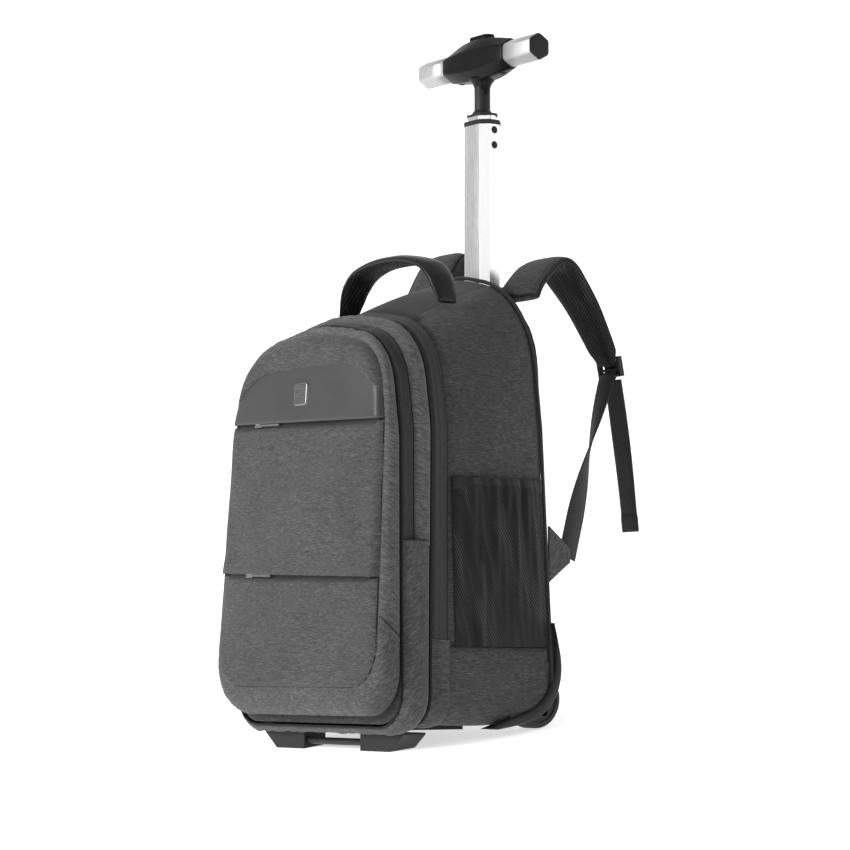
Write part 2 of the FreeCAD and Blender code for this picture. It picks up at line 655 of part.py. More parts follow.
def build_wheel_side(name, side):
    """Housing with its guard strip, and the tyre, core and bearings that turn in it."""
    axle_z = f"{wheel_height():.4f}"
    guard = [("-32.4", "124"), ("-25", "106"), ("-20.5", "84"), ("-26", "58"), ("-43", "37"),
             ("-70", "27.5"), ("-100", "21.5"), ("-84.1", "26.2"), ("-84.1", "88"), ("-32.4", "88")]
    body = new_body(f"wheel_housing_{name}")
    low = "housing_inner" if side > 0 else "-housing_outer"
    add_pad(body, "YZ", low, "housing_outer-housing_inner", [guard])
    cavity = "housing_inner+housing_plate" if side > 0 else "-housing_outer+housing_plate"
    well = [(("wheel_y", axle_z), "wheel_radius+3")]
    add_pocket(body, "YZ", cavity, "housing_outer-housing_inner-2*housing_plate",
               circles=well, reverse=True)
    hole = [(("wheel_y", axle_z), "axle_radius+0.04")]
    add_pocket(body, "YZ", low, "housing_outer-housing_inner", circles=hole, reverse=True)
    publish(body, f"wheel_housing_{name}")

    near = f"{side}*wheel_x-wheel_width/2"
    centre = ("wheel_y", axle_z)
    tyre = padded_body(f"tyre_{name}", "YZ", near, "wheel_width",
                       circles=[(centre, "wheel_radius"), (centre, "tyre_bore+0.02")])
    fillet_edges(tyre, 3.0, lambda edge: edge.Length > 2 * math.pi * 28)
    core = new_body(f"wheel_core_{name}")
    add_pad(core, "YZ", f"{near}+1.5", "wheel_width-3",
            circles=[(centre, "tyre_bore"), (centre, "bearing_radius+0.02")])
    spokes = []
    for k in range(5):
        angle = math.tau * k / 5 + math.pi / 2
        spoke = (f"wheel_y+({15.5 * math.cos(angle):.4f})",
                 f"{axle_z}+({15.5 * math.sin(angle):.4f})")
        spokes.append((spoke, "4.6"))
    add_pocket(core, "YZ", f"{near}+1", "wheel_width", circles=spokes, reverse=True)
    publish(core, f"wheel_core_{name}")
    bearing = new_body(f"bearing_{name}")
    ring = [(centre, "bearing_radius"), (centre, "axle_radius+axle_gap")]
    add_pad(bearing, "YZ", f"{near}+1.5", "wheel_width-3", circles=ring)
    publish(bearing, f"bearing_{name}")


def build_axles():
    """The two wheel axles, each a bolt with a domed outer head."""
    height = wheel_height()
    reach = size("housing_outer") - size("housing_inner") - 0.4
    bolts = []
    for _, side in SIDES:
        low = size("housing_inner") + 0.2 if side > 0 else -size("housing_outer") + 0.2
        bolts.append(Part.makeCylinder(size("axle_radius"), reach,
                                       Vector(low, size("wheel_y"), height), Vector(1, 0, 0)))
    feature("wheel_axles", Part.makeCompound(bolts))


# ---------------------------------------------------------------- trolley pole

def build_pole():
    """Fixed outer tube with collar and socket, middle stage, inner stage."""
    half_x = "tube_width/2"
    half_y = "tube_depth/2"
    outer = octagon(f"{half_x}+tube_gap+sleeve_wall", f"{half_y}+tube_gap+sleeve_wall",
                    "tube_corner")
    bore = octagon(f"{half_x}+tube_gap", f"{half_y}+tube_gap", "tube_corner")
    middle = octagon(half_x, half_y, "tube_corner")
    middle_bore = octagon(f"{half_x}-tube_wall", f"{half_y}-tube_wall", "tube_corner-1")
    inner = octagon(f"{half_x}-tube_wall-tube_gap", f"{half_y}-tube_wall-tube_gap",
                    "tube_corner-1")
    inner_bore = octagon(f"{half_x}-tube_wall-tube_gap-inner_wall",
                         f"{half_y}-tube_wall-tube_gap-inner_wall", "tube_corner-2")
    collar = octagon(f"{half_x}+7.5", f"{half_y}+6.5", "tube_corner+2")
    rim = octagon(f"{half_x}+0.3", f"{half_y}+0.3", "tube_corner")
    rim_bore = octagon(f"{half_x}-tube_wall", f"{half_y}-tube_wall", "tube_corner-1")
    bush = octagon(f"{half_x}+tube_gap/3", f"{half_y}+tube_gap/3", "tube_corner")
    plug = octagon(f"{half_x}-tube_wall-tube_gap/3*2", f"{half_y}-tube_wall-tube_gap/3*2",
                   "tube_corner-1")
    padded_body("outer_tube", "XY", "outer_low", "outer_high-outer_low", [outer, bore])
    padded_body("tube_collar", "XY", "outer_high+0.05", "11", [collar, bore])
    padded_body("tube_socket", "XY", "outer_low-10.05", "10", [outer])
    body = padded_body("middle_tube", "XY", "middle_low", "middle_high-middle_low",
                       [middle, middle_bore])
    dimples = [(("0", "middle_high-6"), "4"), (("0", "middle_high-22"), "4")]
    add_pocket(body, "YZ", f"{half_x}+1", "1.8", circles=dimples)
    padded_body("middle_rim", "XY", "middle_high+0.02", "rim_height", [rim, rim_bore])
    padded_body("middle_bush", "XY", "middle_low-bush_height", "bush_height-0.02",
                [bush, middle_bore])
    padded_body("inner_tube", "XY", "inner_low", "inner_high-inner_low", [inner, inner_bore])
    bore_circle = [(("0", "0"), "rod_bore")]
    padded_body("inner_bush", "XY", "inner_low-bush_height", "bush_height-0.02",
                [plug], bore_circle)


def build_stem():
    """Moulded neck: a flange on the inner tube, a flare and a round stem, bored for the rod."""
    bottom = size("inner_high") + 0.02
    top = size("grip_z") - 21.1
    wide = size("tube_width") - 2 * (size("tube_wall") + size("tube_gap"))
    deep = size("tube_depth") - 2 * (size("tube_wall") + size("tube_gap"))
    flange_height = 2.4
    flange = Part.makeBox(wide, deep, flange_height, Vector(-wide / 2, -deep / 2, bottom))
    corners = [edge for edge in flange.Edges if runs_along(edge, Vector(0, 0, 1))]
    flange = flange.makeChamfer(size("tube_corner") - 1, corners)
    radius = size("stem_radius")
    flare = Part.makeCone(deep / 2, radius, 5.0, Vector(0, 0, bottom + flange_height))
    neck = Part.makeCylinder(radius, top - bottom, Vector(0, 0, bottom))
    bore = Part.makeCylinder(size("rod_bore"), top - bottom + 2, Vector(0, 0, bottom - 1))
    feature("stem", flange.fuse([flare, neck]).removeSplitter().cut(bore))


def hexagon(flat, corner):
    """Corners of the T-bar's section in YZ, as expressions; ridges at top and bottom."""
    half = f"({corner})/2"
    return [(f"-({flat})", f"grip_z-{half}"), ("0", f"grip_z-({corner})"),
            (flat, f"grip_z-{half}"), (flat, f"grip_z+{half}"),
            ("0", f"grip_z+({corner})"), (f"-({flat})", f"grip_z+{half}")]


def build_grip():
    """T-bar: plastic core, two aluminium sleeves, end caps and the split button housing."""
    core_flat = "grip_flat-sleeve_thick-0.1"
    core_corner = "grip_corner-sleeve_thick-0.1"
    core = padded_body("grip_core", "YZ", "-grip_half", "2*grip_half",
                       [hexagon(core_flat, core_corner)])
    screw_holes = [(("screw_x", "0"), "1.6"), (("-screw_x", "0"), "1.6")]
    rod_hole = [(("0", "0"), "rod_bore")]
    add_pocket(core, "XY", "grip_z-20", "28", circles=screw_holes, reverse=True)
    add_pocket(core, "XY", "grip_z-30", "60", circles=rod_hole, reverse=True)
    shell = [hexagon("grip_flat", "grip_corner"),
             hexagon("grip_flat-sleeve_thick", "grip_corner-sleeve_thick")]
    for name, side in SIDES:
        low = "housing_half+0.05" if side > 0 else "-grip_half"
        padded_body(f"grip_sleeve_{name}", "YZ", low, "grip_half-housing_half-0.05", shell)
    caps = []
    for _, side in SIDES:
        start = side * (size("grip_half") + 0.05)
        flat = size("grip_flat")
        corner = size("grip_corner")
        z = size("grip_z")
        ring = [(-flat, -corner / 2), (0, -corner), (flat, -corner / 2),
                (flat, corner / 2), (0, corner), (-flat, corner / 2)]
        points = [Vector(start, y, z + dz) for y, dz in ring]
        face = Part.Face(rounded_wire(points, [1.5] * len(points)))
        caps.append(face.extrude(Vector(side * size("cap_thick"), 0, 0)))
    feature("grip_end_caps", Part.makeCompound(caps))

    clear_flat = "(grip_flat-sleeve_thick)"
    clear_corner = "(grip_corner-sleeve_thick)"
    depth = "housing_depth"
    lower = [(f"-{depth}", "grip_z-0.02"), (f"-{depth}", "grip_z-12"), ("-10", "grip_z-21"),
             ("10", "grip_z-21"), (depth, "grip_z-12"), (depth, "grip_z-0.02"),
             (clear_flat, "grip_z-0.02"), (clear_flat, f"grip_z-{clear_corner}/2"),
             ("0", f"grip_z-{clear_corner}"), (f"-{clear_flat}", f"grip_z-{clear_corner}/2"),
             (f"-{clear_flat}", "grip_z-0.02")]
    upper = [(depth, "grip_z"), (depth, "grip_z+11"), ("10", "grip_z+21.5"),
             ("-10", "grip_z+21.5"), (f"-{depth}", "grip_z+11"), (f"-{depth}", "grip_z"),
             (f"-{clear_flat}", "grip_z"), (f"-{clear_flat}", f"grip_z+{clear_corner}/2"),
             ("0", f"grip_z+{clear_corner}"), (clear_flat, f"grip_z+{clear_corner}/2"),
             (clear_flat, "grip_z")]
    body = padded_body("grip_housing_lower", "YZ", "-housing_half", "2*housing_half", [lower])
    heads = [(("screw_x", "0"), "3.6"), (("-screw_x", "0"), "3.6")]
    add_pocket(body, "XY", "grip_z-22", "5", circles=heads, reverse=True)
    add_pocket(body, "XY", "grip_z-22", "16", circles=screw_holes, reverse=True)
    add_pocket(body, "XY", "grip_z-22", "16", circles=rod_hole, reverse=True)
    body = padded_body("grip_housing_upper", "YZ", "-housing_half", "2*housing_half", [upper])
    slot = octagon("button_half+0.4", "button_depth+0.4", "5")
    add_pocket(body, "XY", "grip_z+24", "20", [slot])

    screws = []
    for _, side in SIDES:
        base = Vector(side * size("screw_x"), 0, size("grip_z") - 19.5)
        head = Part.makeCylinder(3.3, 2.4, base)
        shank = Part.makeCylinder(1.5, 20, base)
        recess = Part.makeBox(4, 1.0, 1.2, base - Vector(2, 0.5, 0.2))
        screws.append(head.fuse(shank).cut(recess))
    feature("grip_screws", Part.makeCompound(screws))


def build_button():
    """Push button in the housing and the rod that carries it down to the lock."""
    body = new_body("push_button")
    shape = octagon("button_half", "button_depth", "4.8")
    add_pad(body, "XY", "grip_z+18.6", "button_top-grip_z-18.6", [shape])
    fillet_edges(body, 2.0, lambda edge: edge.Vertexes[0].Point.z > size("button_top") - 0.1
                 and edge.Vertexes[-1].Point.z > size("button_top") - 0.1)
    publish(body, "push_button")
    padded_body("push_rod", "XY", "inner_low-bush_height-3", "grip_z+18.5-inner_low+bush_height+3",
                circles=[(("0", "0"), "rod_radius")])


# ---------------------------------------------------------------- straps and handle

STRAP_PATH = [(84, -18, 461, 62), (84, -12, 470, 62), (84, 1, 485, 62), (84, 12, 494, 62),
              (85, 22, 496, 60), (86, 33, 490, 57), (87, 43, 478, 54), (95, 60, 447, 46),
              (103, 72, 415, 38), (107, 75, 402, 34)]
LOCK = (110.0, 81.0, 391.0)
TAB_TIP = (143.5, -4.0, 192.0)


def strap_stations(side, rise):
    """The shoulder pad's path; rise stretches its arch upwards."""
    foot = STRAP_PATH[0][2]
    stations = []
    for k, (x, y, z, width) in enumerate(STRAP_PATH):
        lift = (rise - 1) * max(z - foot, 0) if k < len(STRAP_PATH) - 3 else 0
        stations.append((side * x, y, z + lift, width))
    return stations


def build_straps():
    """Shoulder pads, ladder locks, lower webbing, its sewn tabs and the free tails."""
    tabs = []
    for name, side in SIDES:
        rise = 1.0 if side > 0 else 1.65
        feature(f"shoulder_strap_{name}", ribbon(strap_stations(side, rise),
                                                 size("strap_thick")))
        x, y, z = LOCK
        frame = Part.makeBox(36, 5, 21, Vector(side * x - 18, y - 2.5, z - 10.5))
        slots = [Part.makeBox(27, 8, 3.4, Vector(side * x - 13.5, y - 4, z + dz))
                 for dz in (-7.5, -1.7, 4.1)]
        frame.rotate(Vector(side * x, y, z), Vector(1, 0, 0), 12)
        for slot in slots:
            slot.rotate(Vector(side * x, y, z), Vector(1, 0, 0), 12)
        feature(f"ladder_lock_{name}", frame.cut(slots))
        width = size("webbing_width")
        start = Vector(side * x, y - 4.6, z - 12)
        end = Vector(side * (TAB_TIP[0] - 4), TAB_TIP[1] + 3, TAB_TIP[2] + 4)
        rings = []
        steps = 6
        for k in range(steps + 1):
            share = k / steps
            centre = start + (end - start) * share
            turn = side * math.radians(86) * min(1.0, share * 1.4)
            across = Vector(math.cos(turn), -math.sin(turn), 0) * (width / 2)
            along = (end - start).normalize()
            across = across - along * across.dot(along)
            normal = along.cross(across).normalize() * (size("webbing_thick") / 2)
            ring = [centre - across - normal, centre + across - normal,
                    centre + across + normal, centre - across + normal]
            rings.append(Part.makePolygon(ring + ring[:1]))
        feature(f"strap_webbing_{name}", loft(rings))
        tail_top = Vector(side * x, y + 3.5, z - 13)
        lean = math.radians(size("lean_angle"))
        drop = Vector(0, math.sin(lean), -math.cos(lean))
        stations = []
        for share in (0.0, 0.35, 0.7, 1.0):
            point = tail_top + drop * (size("tail_length") * share)
            stations.append((point.x, point.y, point.z, width))
        feature(f"strap_tail_{name}", ribbon(stations, size("webbing_thick")))
        corners = [(-27.4, 168.0), (-27.4, 221.0), (TAB_TIP[1], 198.0), (TAB_TIP[1], 187.0)]
        points = [Vector(side * (TAB_TIP[0] - 1.5), ty, tz) for ty, tz in corners]
        tab = Part.Face(Part.makePolygon(points + points[:1])).extrude(Vector(side * 3, 0, 0))
        tabs.append(tab)
    feature("strap_tabs", Part.makeCompound(tabs))


def build_grab_handle():
    """Padded grab handle: an arch over the top, wide in the middle and narrow at its ends."""
    y = size("handle_y")
    wide = size("handle_width")
    thick = size("handle_thick")
    path = [(-81.5, 454, 0.32), (-80, 460, 0.5), (-73, 475, 0.85), (-56, 489, 1.0),
            (-28, 495.5, 1.0), (0, 497, 1.0)]
    path = path + [(-x, z, share) for x, z, share in reversed(path[:-1])]
    wires = []
    for k, (x, z, share) in enumerate(path):
        before = path[max(k - 1, 0)]
        after = path[min(k + 1, len(path) - 1)]
        along = Vector(after[0] - before[0], 0, after[1] - before[1]).normalize()
        normal = Vector(-along.z, 0, along.x) * (thick * min(1.0, 0.5 + share / 2) / 2)
        across = Vector(0, wide * share / 2, 0)
        centre = Vector(x, y, z)
        ring = [centre - across - normal, centre + across - normal,
                centre + across + normal, centre - across + normal]
        wires.append(Part.makePolygon(ring + ring[:1]))
    feature("grab_handle", loft(wires))


# ---------------------------------------------------------------- build and write

main_solid = build_main_shell()
organiser_solid = build_pockets()
build_zip_bands(main_solid, organiser_solid)
build_face_trim()
build_slider("upper", size("zip_high"))
build_slider("lower", size("zip_low"))
build_mesh_pockets()
build_back()
build_inner_panels()
build_feet()
for name, side in SIDES:
    build_wheel_side(name, side)
build_axles()
build_pole()
build_stem()
build_grip()
build_button()
build_straps()
build_grab_handle()
doc.recompute()

for item in doc.Objects:
    if "Invalid" in item.State or "Error" in item.State:
        raise RuntimeError(f"{item.Label} failed: {item.State}")
box = FreeCAD.BoundBox()
for item in NODES:
    shape = item.Shape
    if shape.isNull() or not shape.isValid() or not shape.Solids:
        raise RuntimeError(f"{item.Label}: shape is null or not valid")
    box.add(shape.BoundBox)
    shape.exportStep(f"parts/{item.Label}.step")
    print(f"{item.Label:24s} solids {len(shape.Solids)} volume {shape.Volume / 1000:9.2f} cm3")
print(f"{len(NODES)} nodes, box {box}")
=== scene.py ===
import json
import math

import bmesh
import bpy
import numpy as np
from mathutils import Matrix, Vector


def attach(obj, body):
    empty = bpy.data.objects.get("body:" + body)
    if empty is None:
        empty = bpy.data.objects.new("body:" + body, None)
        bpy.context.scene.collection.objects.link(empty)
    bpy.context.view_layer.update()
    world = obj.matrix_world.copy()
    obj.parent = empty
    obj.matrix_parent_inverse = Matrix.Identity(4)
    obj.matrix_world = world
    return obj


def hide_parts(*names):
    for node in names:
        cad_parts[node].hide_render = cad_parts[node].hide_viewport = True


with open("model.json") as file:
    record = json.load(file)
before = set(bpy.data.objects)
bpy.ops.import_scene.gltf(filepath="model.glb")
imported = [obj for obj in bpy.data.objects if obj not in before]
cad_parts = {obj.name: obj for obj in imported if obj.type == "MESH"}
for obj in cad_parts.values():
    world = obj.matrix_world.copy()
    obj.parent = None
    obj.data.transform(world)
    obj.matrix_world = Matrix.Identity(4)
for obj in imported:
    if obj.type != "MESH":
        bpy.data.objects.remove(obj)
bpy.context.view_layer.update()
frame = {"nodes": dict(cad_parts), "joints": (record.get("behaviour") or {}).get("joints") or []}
nodes = frame["nodes"]
MM = 0.001

# ---------------------------------------------------------------- case frame
# X across the bag, Y along its depth, Z along the pole, in millimetres. The bag leans back, so
# the frame's lean comes from the pole's slide and its place from the grab handle's hinge.

joints = {joint["name"]: joint for joint in frame["joints"]}
SIN, COS = joints["middle_slide"]["axis"][1:]
hinge = joints["carry_handle_tilt"]["pos_m"]
SHIFT_Y = hinge[1] - (-0.112 * COS + 0.451 * SIN)
SHIFT_Z = hinge[2] - (0.112 * SIN + 0.451 * COS)


def to_row(points):
    """Case millimetres to row metres, for an array of points."""
    points = np.asarray(points, float) * MM
    x, y, z = points[..., 0], points[..., 1], points[..., 2]
    return np.stack([x, y * COS + z * SIN + SHIFT_Y, -y * SIN + z * COS + SHIFT_Z], -1)


def case(x, y, z):
    return Vector(to_row([x, y, z]))


def direction(x, y, z):
    return Vector((x, y * COS + z * SIN, -y * SIN + z * COS)).normalized()


def smooth(t):
    t = np.clip(t, 0.0, 1.0)
    return t * t * (3 - 2 * t)


# ---------------------------------------------------------------- materials

def new_material(name):
    material = bpy.data.materials.new(name)
    material.use_nodes = True
    tree = material.node_tree
    return material, tree, tree.nodes["Principled BSDF"]


def node(tree, kind, inputs=None, **settings):
    made = tree.nodes.new(kind)
    for key, value in settings.items():
        setattr(made, key, value)
    for key, value in (inputs or {}).items():
        if isinstance(value, bpy.types.NodeSocket):
            tree.links.new(value, made.inputs[key])
        else:
            made.inputs[key].default_value = value
    return made


def ramp(tree, source, stops):
    """A colour ramp of (position, grey or colour) stops."""
    made = node(tree, "ShaderNodeValToRGB", {"Fac": source})
    elements = made.color_ramp.elements
    while len(elements) < len(stops):
        elements.new(0.5)
    for element, (position, value) in zip(elements, stops):
        element.position = position
        element.color = (*value, 1.0) if isinstance(value, tuple) else (value, value, value, 1.0)
    return made.outputs["Color"]


def mapped(tree, scale, turn=(0.0, 0.0, 0.0)):
    """Object coordinates, turned and scaled."""
    place = node(tree, "ShaderNodeTexCoord").outputs["Object"]
    turned = node(tree, "ShaderNodeMapping", {"Vector": place, "Rotation": turn})
    return node(tree, "ShaderNodeMapping", {"Vector": turned.outputs["Vector"], "Scale": scale})


def noise(tree, vector, scale, detail=2.0, rough=0.5):
    made = node(tree, "ShaderNodeTexNoise",
                {"Vector": vector, "Scale": scale, "Detail": detail, "Roughness": rough})
    return made.outputs["Fac"]


def mix(tree, kind, a, b):
    made = node(tree, "ShaderNodeMix", data_type="RGBA", blend_type=kind)
    made.inputs[0].default_value = 1.0
    for index, value in ((6, a), (7, b)):
        if isinstance(value, bpy.types.NodeSocket):
            tree.links.new(value, made.inputs[index])
        else:
            made.inputs[index].default_value = (value, value, value, 1.0)
    return made.outputs[2]


def maths(tree, kind, a, b=None):
    made = node(tree, "ShaderNodeMath", operation=kind)
    for index, value in enumerate((a, b)):
        if isinstance(value, bpy.types.NodeSocket):
            tree.links.new(value, made.inputs[index])
        elif value is not None:
            made.inputs[index].default_value = value
    return made.outputs[0]


def bump(tree, shader, height, strength, distance):
    made = node(tree, "ShaderNodeBump",
                {"Height": height, "Strength": strength, "Distance": distance})
    tree.links.new(made.outputs["Normal"], shader.inputs["Normal"])
    return made


LEAN_TURN = (math.asin(SIN), 0.0, 0.0)


def heather(name, turn, level):
    """Melange polyester: fine short light streaks at right angles to the turned Z axis, over a
    dark ground; level scales how light it is."""
    material, tree, shader = new_material(name)
    turned = mapped(tree, (1.0, 1.0, 1.0), turn)
    streak_space = node(tree, "ShaderNodeMapping",
                        {"Vector": turned.outputs["Vector"], "Scale": (0.13, 0.13, 1.0)})
    fine = noise(tree, streak_space.outputs["Vector"], 1300.0, 3.0, 0.7)
    coarse_space = node(tree, "ShaderNodeMapping",
                        {"Vector": turned.outputs["Vector"], "Scale": (0.12, 0.12, 1.0)})
    coarse = noise(tree, coarse_space.outputs["Vector"], 420.0, 2.0, 0.5)
    cloud = noise(tree, turned.outputs["Vector"], 9.0, 3.0, 0.55)
    streaks = ramp(tree, fine, [(0.30, 0.034 * level), (0.46, 0.060 * level),
                                (0.58, 0.096 * level), (0.74, 0.155 * level)])
    patches = ramp(tree, coarse, [(0.3, 0.86), (0.7, 1.12)])
    shade = ramp(tree, cloud, [(0.3, 0.9), (0.7, 1.1)])
    colour = mix(tree, "MULTIPLY", mix(tree, "MULTIPLY", streaks, patches), shade)
    tree.links.new(colour, shader.inputs["Base Color"])
    shader.inputs["Roughness"].default_value = 0.86
    shader.inputs["Sheen Weight"].default_value = 0.12
    shader.inputs["Sheen Roughness"].default_value = 0.5
    shader.inputs["Specular IOR Level"].default_value = 0.25
    weave = noise(tree, streak_space.outputs["Vector"], 2200.0, 1.0, 0.5)
    bump(tree, shader, maths(tree, "ADD", weave, fine), 0.35, 0.0004)
    return material


def plain_cloth(name, grey, rough, weave=900.0, strength=0.25):
    """Dark woven tape: a twill-like ripple with a faint mottling."""
    material, tree, shader = new_material(name)
    space = mapped(tree, (1.0, 1.0, 1.0))
    wave = node(tree, "ShaderNodeTexWave", {"Vector": space.outputs["Vector"], "Scale": weave,
                                            "Distortion": 0.6, "Detail": 1.0},
                bands_direction="DIAGONAL")
    cloud = noise(tree, space.outputs["Vector"], 260.0, 3.0, 0.6)
    colour = ramp(tree, cloud, [(0.25, grey * 0.82), (0.75, grey * 1.2)])
    tree.links.new(colour, shader.inputs["Base Color"])
    shader.inputs["Roughness"].default_value = rough
    shader.inputs["Sheen Weight"].default_value = 0.1
    shader.inputs["Specular IOR Level"].default_value = 0.3
    bump(tree, shader, wave.outputs["Fac"], strength, 0.0003)
    return material


def leather(name, grey, rough, shine=0.4):
    """Smooth leatherette: fine pebble grain and a soft satin gloss."""
    material, tree, shader = new_material(name)
    space = mapped(tree, (1.0, 1.0, 1.0))
    cells = node(tree, "ShaderNodeTexVoronoi", {"Vector": space.outputs["Vector"],
                                                "Scale": 900.0}, feature="SMOOTH_F1")
    cloud = noise(tree, space.outputs["Vector"], 30.0, 3.0, 0.5)
    colour = ramp(tree, cloud, [(0.3, grey * 0.93), (0.7, grey * 1.07)])
    tree.links.new(colour, shader.inputs["Base Color"])
    roughness = ramp(tree, cloud, [(0.3, rough * 0.92), (0.7, rough * 1.12)])
    tree.links.new(roughness, shader.inputs["Roughness"])
    shader.inputs["Specular IOR Level"].default_value = shine
    bump(tree, shader, cells.outputs["Distance"], 0.12, 0.0003)
    return material


def mesh_cloth(name, cell, grey, wire, squash=0.62, depth=0.0008):
    """Knitted spacer or pocket mesh: a diamond lattice of threads over dark holes."""
    material, tree, shader = new_material(name)
    space = mapped(tree, (1.0, 1.0, 1.0), LEAN_TURN)
    parts = node(tree, "ShaderNodeSeparateXYZ", {"Vector": space.outputs["Vector"]})
    across = maths(tree, "ADD", parts.outputs["X"], parts.outputs["Y"])
    p = maths(tree, "MULTIPLY", across, math.pi / cell)
    q = maths(tree, "MULTIPLY", parts.outputs["Z"], math.pi / cell * squash)
    rise = maths(tree, "SINE", maths(tree, "ADD", p, q))
    fall = maths(tree, "SINE", maths(tree, "SUBTRACT", p, q))
    hole = maths(tree, "ABSOLUTE", maths(tree, "MULTIPLY", rise, fall))
    thread = ramp(tree, hole, [(0.12, 1.0), (0.42, 0.0)])
    drape = node(tree, "ShaderNodeMapping", {"Vector": space.outputs["Vector"],
                                             "Rotation": (math.radians(-14), 0.0, 0.0)})
    fold = node(tree, "ShaderNodeMapping", {"Vector": drape.outputs["Vector"],
                                            "Scale": (1.0, 1.0, 0.11)})
    cloud = noise(tree, fold.outputs["Vector"], 95.0, 2.0, 0.55)
    tint = ramp(tree, cloud, [(0.36, wire * 0.35), (0.52, wire), (0.66, wire * 2.4)])
    ground = mix(tree, "MIX", grey, tint)
    tree.links.new(thread, ground.node.inputs[0])
    tree.links.new(ground, shader.inputs["Base Color"])
    shader.inputs["Roughness"].default_value = 0.62
    shader.inputs["Specular IOR Level"].default_value = 0.3
    bump(tree, shader, thread, 0.8, depth)
    return material


def plastic(name, grey, rough=0.42, grain=0.35, shine=0.3):
    """Moulded plastic: spark-eroded grain and slightly polished high spots."""
    material, tree, shader = new_material(name)
    space = mapped(tree, (1.0, 1.0, 1.0))
    fine = noise(tree, space.outputs["Vector"], 1400.0, 2.0, 0.6)
    cloud = noise(tree, space.outputs["Vector"], 26.0, 3.0, 0.6)
    colour = ramp(tree, cloud, [(0.3, grey * 0.85), (0.7, grey * 1.15)])
    tree.links.new(colour, shader.inputs["Base Color"])
    roughness = ramp(tree, cloud, [(0.3, rough * 0.85), (0.7, rough * 1.2)])
    tree.links.new(roughness, shader.inputs["Roughness"])
    shader.inputs["Specular IOR Level"].default_value = shine
    bump(tree, shader, fine, grain, 0.00015)
    return material


def metal(name, grey, rough, stretch=(1.0, 1.0, 1.0), metallic=1.0, scratch=0.12):
    """Brushed or anodised metal: fine lines along the drawing direction."""
    material, tree, shader = new_material(name)
    space = mapped(tree, (1.0, 1.0, 1.0), LEAN_TURN)
    lines = node(tree, "ShaderNodeMapping",
                 {"Vector": space.outputs["Vector"], "Scale": stretch})
    grain = noise(tree, lines.outputs["Vector"], 1800.0, 3.0, 0.6)
    colour = ramp(tree, grain, [(0.3, grey * 0.94), (0.7, min(grey * 1.04, 1.0))])
    tree.links.new(colour, shader.inputs["Base Color"])
    roughness = ramp(tree, grain, [(0.3, rough * 0.85), (0.7, rough * 1.2)])
    tree.links.new(roughness, shader.inputs["Roughness"])
    shader.inputs["Metallic"].default_value = metallic
    bump(tree, shader, grain, scratch, 0.00005)
    return material


def rubber(name, grey):
    material, tree, shader = new_material(name)
    space = mapped(tree, (1.0, 1.0, 1.0))
    cloud = noise(tree, space.outputs["Vector"], 60.0, 4.0, 0.65)
    colour = ramp(tree, cloud, [(0.3, grey * 0.8), (0.75, grey * 1.5)])
    tree.links.new(colour, shader.inputs["Base Color"])
    shader.inputs["Roughness"].default_value = 0.75
    bump(tree, shader, noise(tree, space.outputs["Vector"], 900.0), 0.3, 0.0003)
    return material


DIAGONAL = (math.radians(-38), 0.0, 0.0)   # weave of the bias-cut lower strips
MAT = {
    "heather": heather("heather", LEAN_TURN, 0.72),
    # heather_side_painted_shade is a darker copy of the heather, painted shade, for the main
    # compartment's sides, its closing panels, the lower side panel and the cushion's tunnel
    "heather_side_painted_shade": heather("heather_side_painted_shade", LEAN_TURN, 0.64),
    # heather_top_painted_shade is a much darker copy of the heather: painted shade on the top panel
    "heather_top_painted_shade": heather("heather_top_painted_shade", (math.radians(90), 0.0, 0.0), 0.17),
    "heather_strip": heather("heather_strip", (math.radians(30), 0.0, 0.0), 1.10),
    "heather_strap": heather("heather_strap", (math.radians(90), 0.0, 0.0), 0.46),
    "heather_low": heather("heather_low", DIAGONAL, 0.90),
    "zip_band": plain_cloth("zip_band", 0.027, 0.7),
    "seam": plain_cloth("seam", 0.008, 0.9, 600.0),
    "thread": plain_cloth("thread", 0.045, 0.6, 1500.0),
    "thread_light": plain_cloth("thread_light", 0.10, 0.6, 1500.0),
    "webbing": plain_cloth("webbing", 0.024, 0.68, 420.0, 0.6),
    "piping": plain_cloth("piping", 0.022, 0.6, 700.0, 0.3),
    "leather": leather("leather", 0.036, 0.44),
    "leather_handle": leather("leather_handle", 0.010, 0.40, 0.24),
    "mesh": mesh_cloth("mesh", 0.0030, 0.0035, 0.027),
    "binding": plain_cloth("binding", 0.013, 0.7, 500.0, 0.4),
    "spacer": mesh_cloth("spacer", 0.0050, 0.004, 0.026, 1.0, 0.0012),
    "cushion": mesh_cloth("cushion", 0.0048, 0.010, 0.038, 1.0, 0.0012),
    "plastic": plastic("plastic", 0.018),
    "plastic_foot": plastic("plastic_foot", 0.017, 0.42),
    "plastic_grip": plastic("plastic_grip", 0.004, 0.32, 0.05, 0.14),
    "plastic_dark": plastic("plastic_dark", 0.010, 0.5),
    "aluminium": metal("aluminium", 0.86, 0.24, (1.0, 1.0, 0.02), 0.90, 0.02),
    "aluminium_bar": metal("aluminium_bar", 0.50, 0.46, (0.02, 1.0, 1.0), 0.75, 0.03),
    "steel": metal("steel", 0.55, 0.32),
    "plate": metal("plate", 0.24, 0.28, (0.03, 1.0, 1.0)),
    "zip_metal": metal("zip_metal", 0.55, 0.16),
    "tyre": rubber("tyre", 0.022),
}


def dress(name, *names):
    """Gives CAD nodes a material."""
    for item in names:
        mesh = nodes[item].data
        mesh.materials.clear()
        mesh.materials.append(MAT[name])


# ---------------------------------------------------------------- building helpers

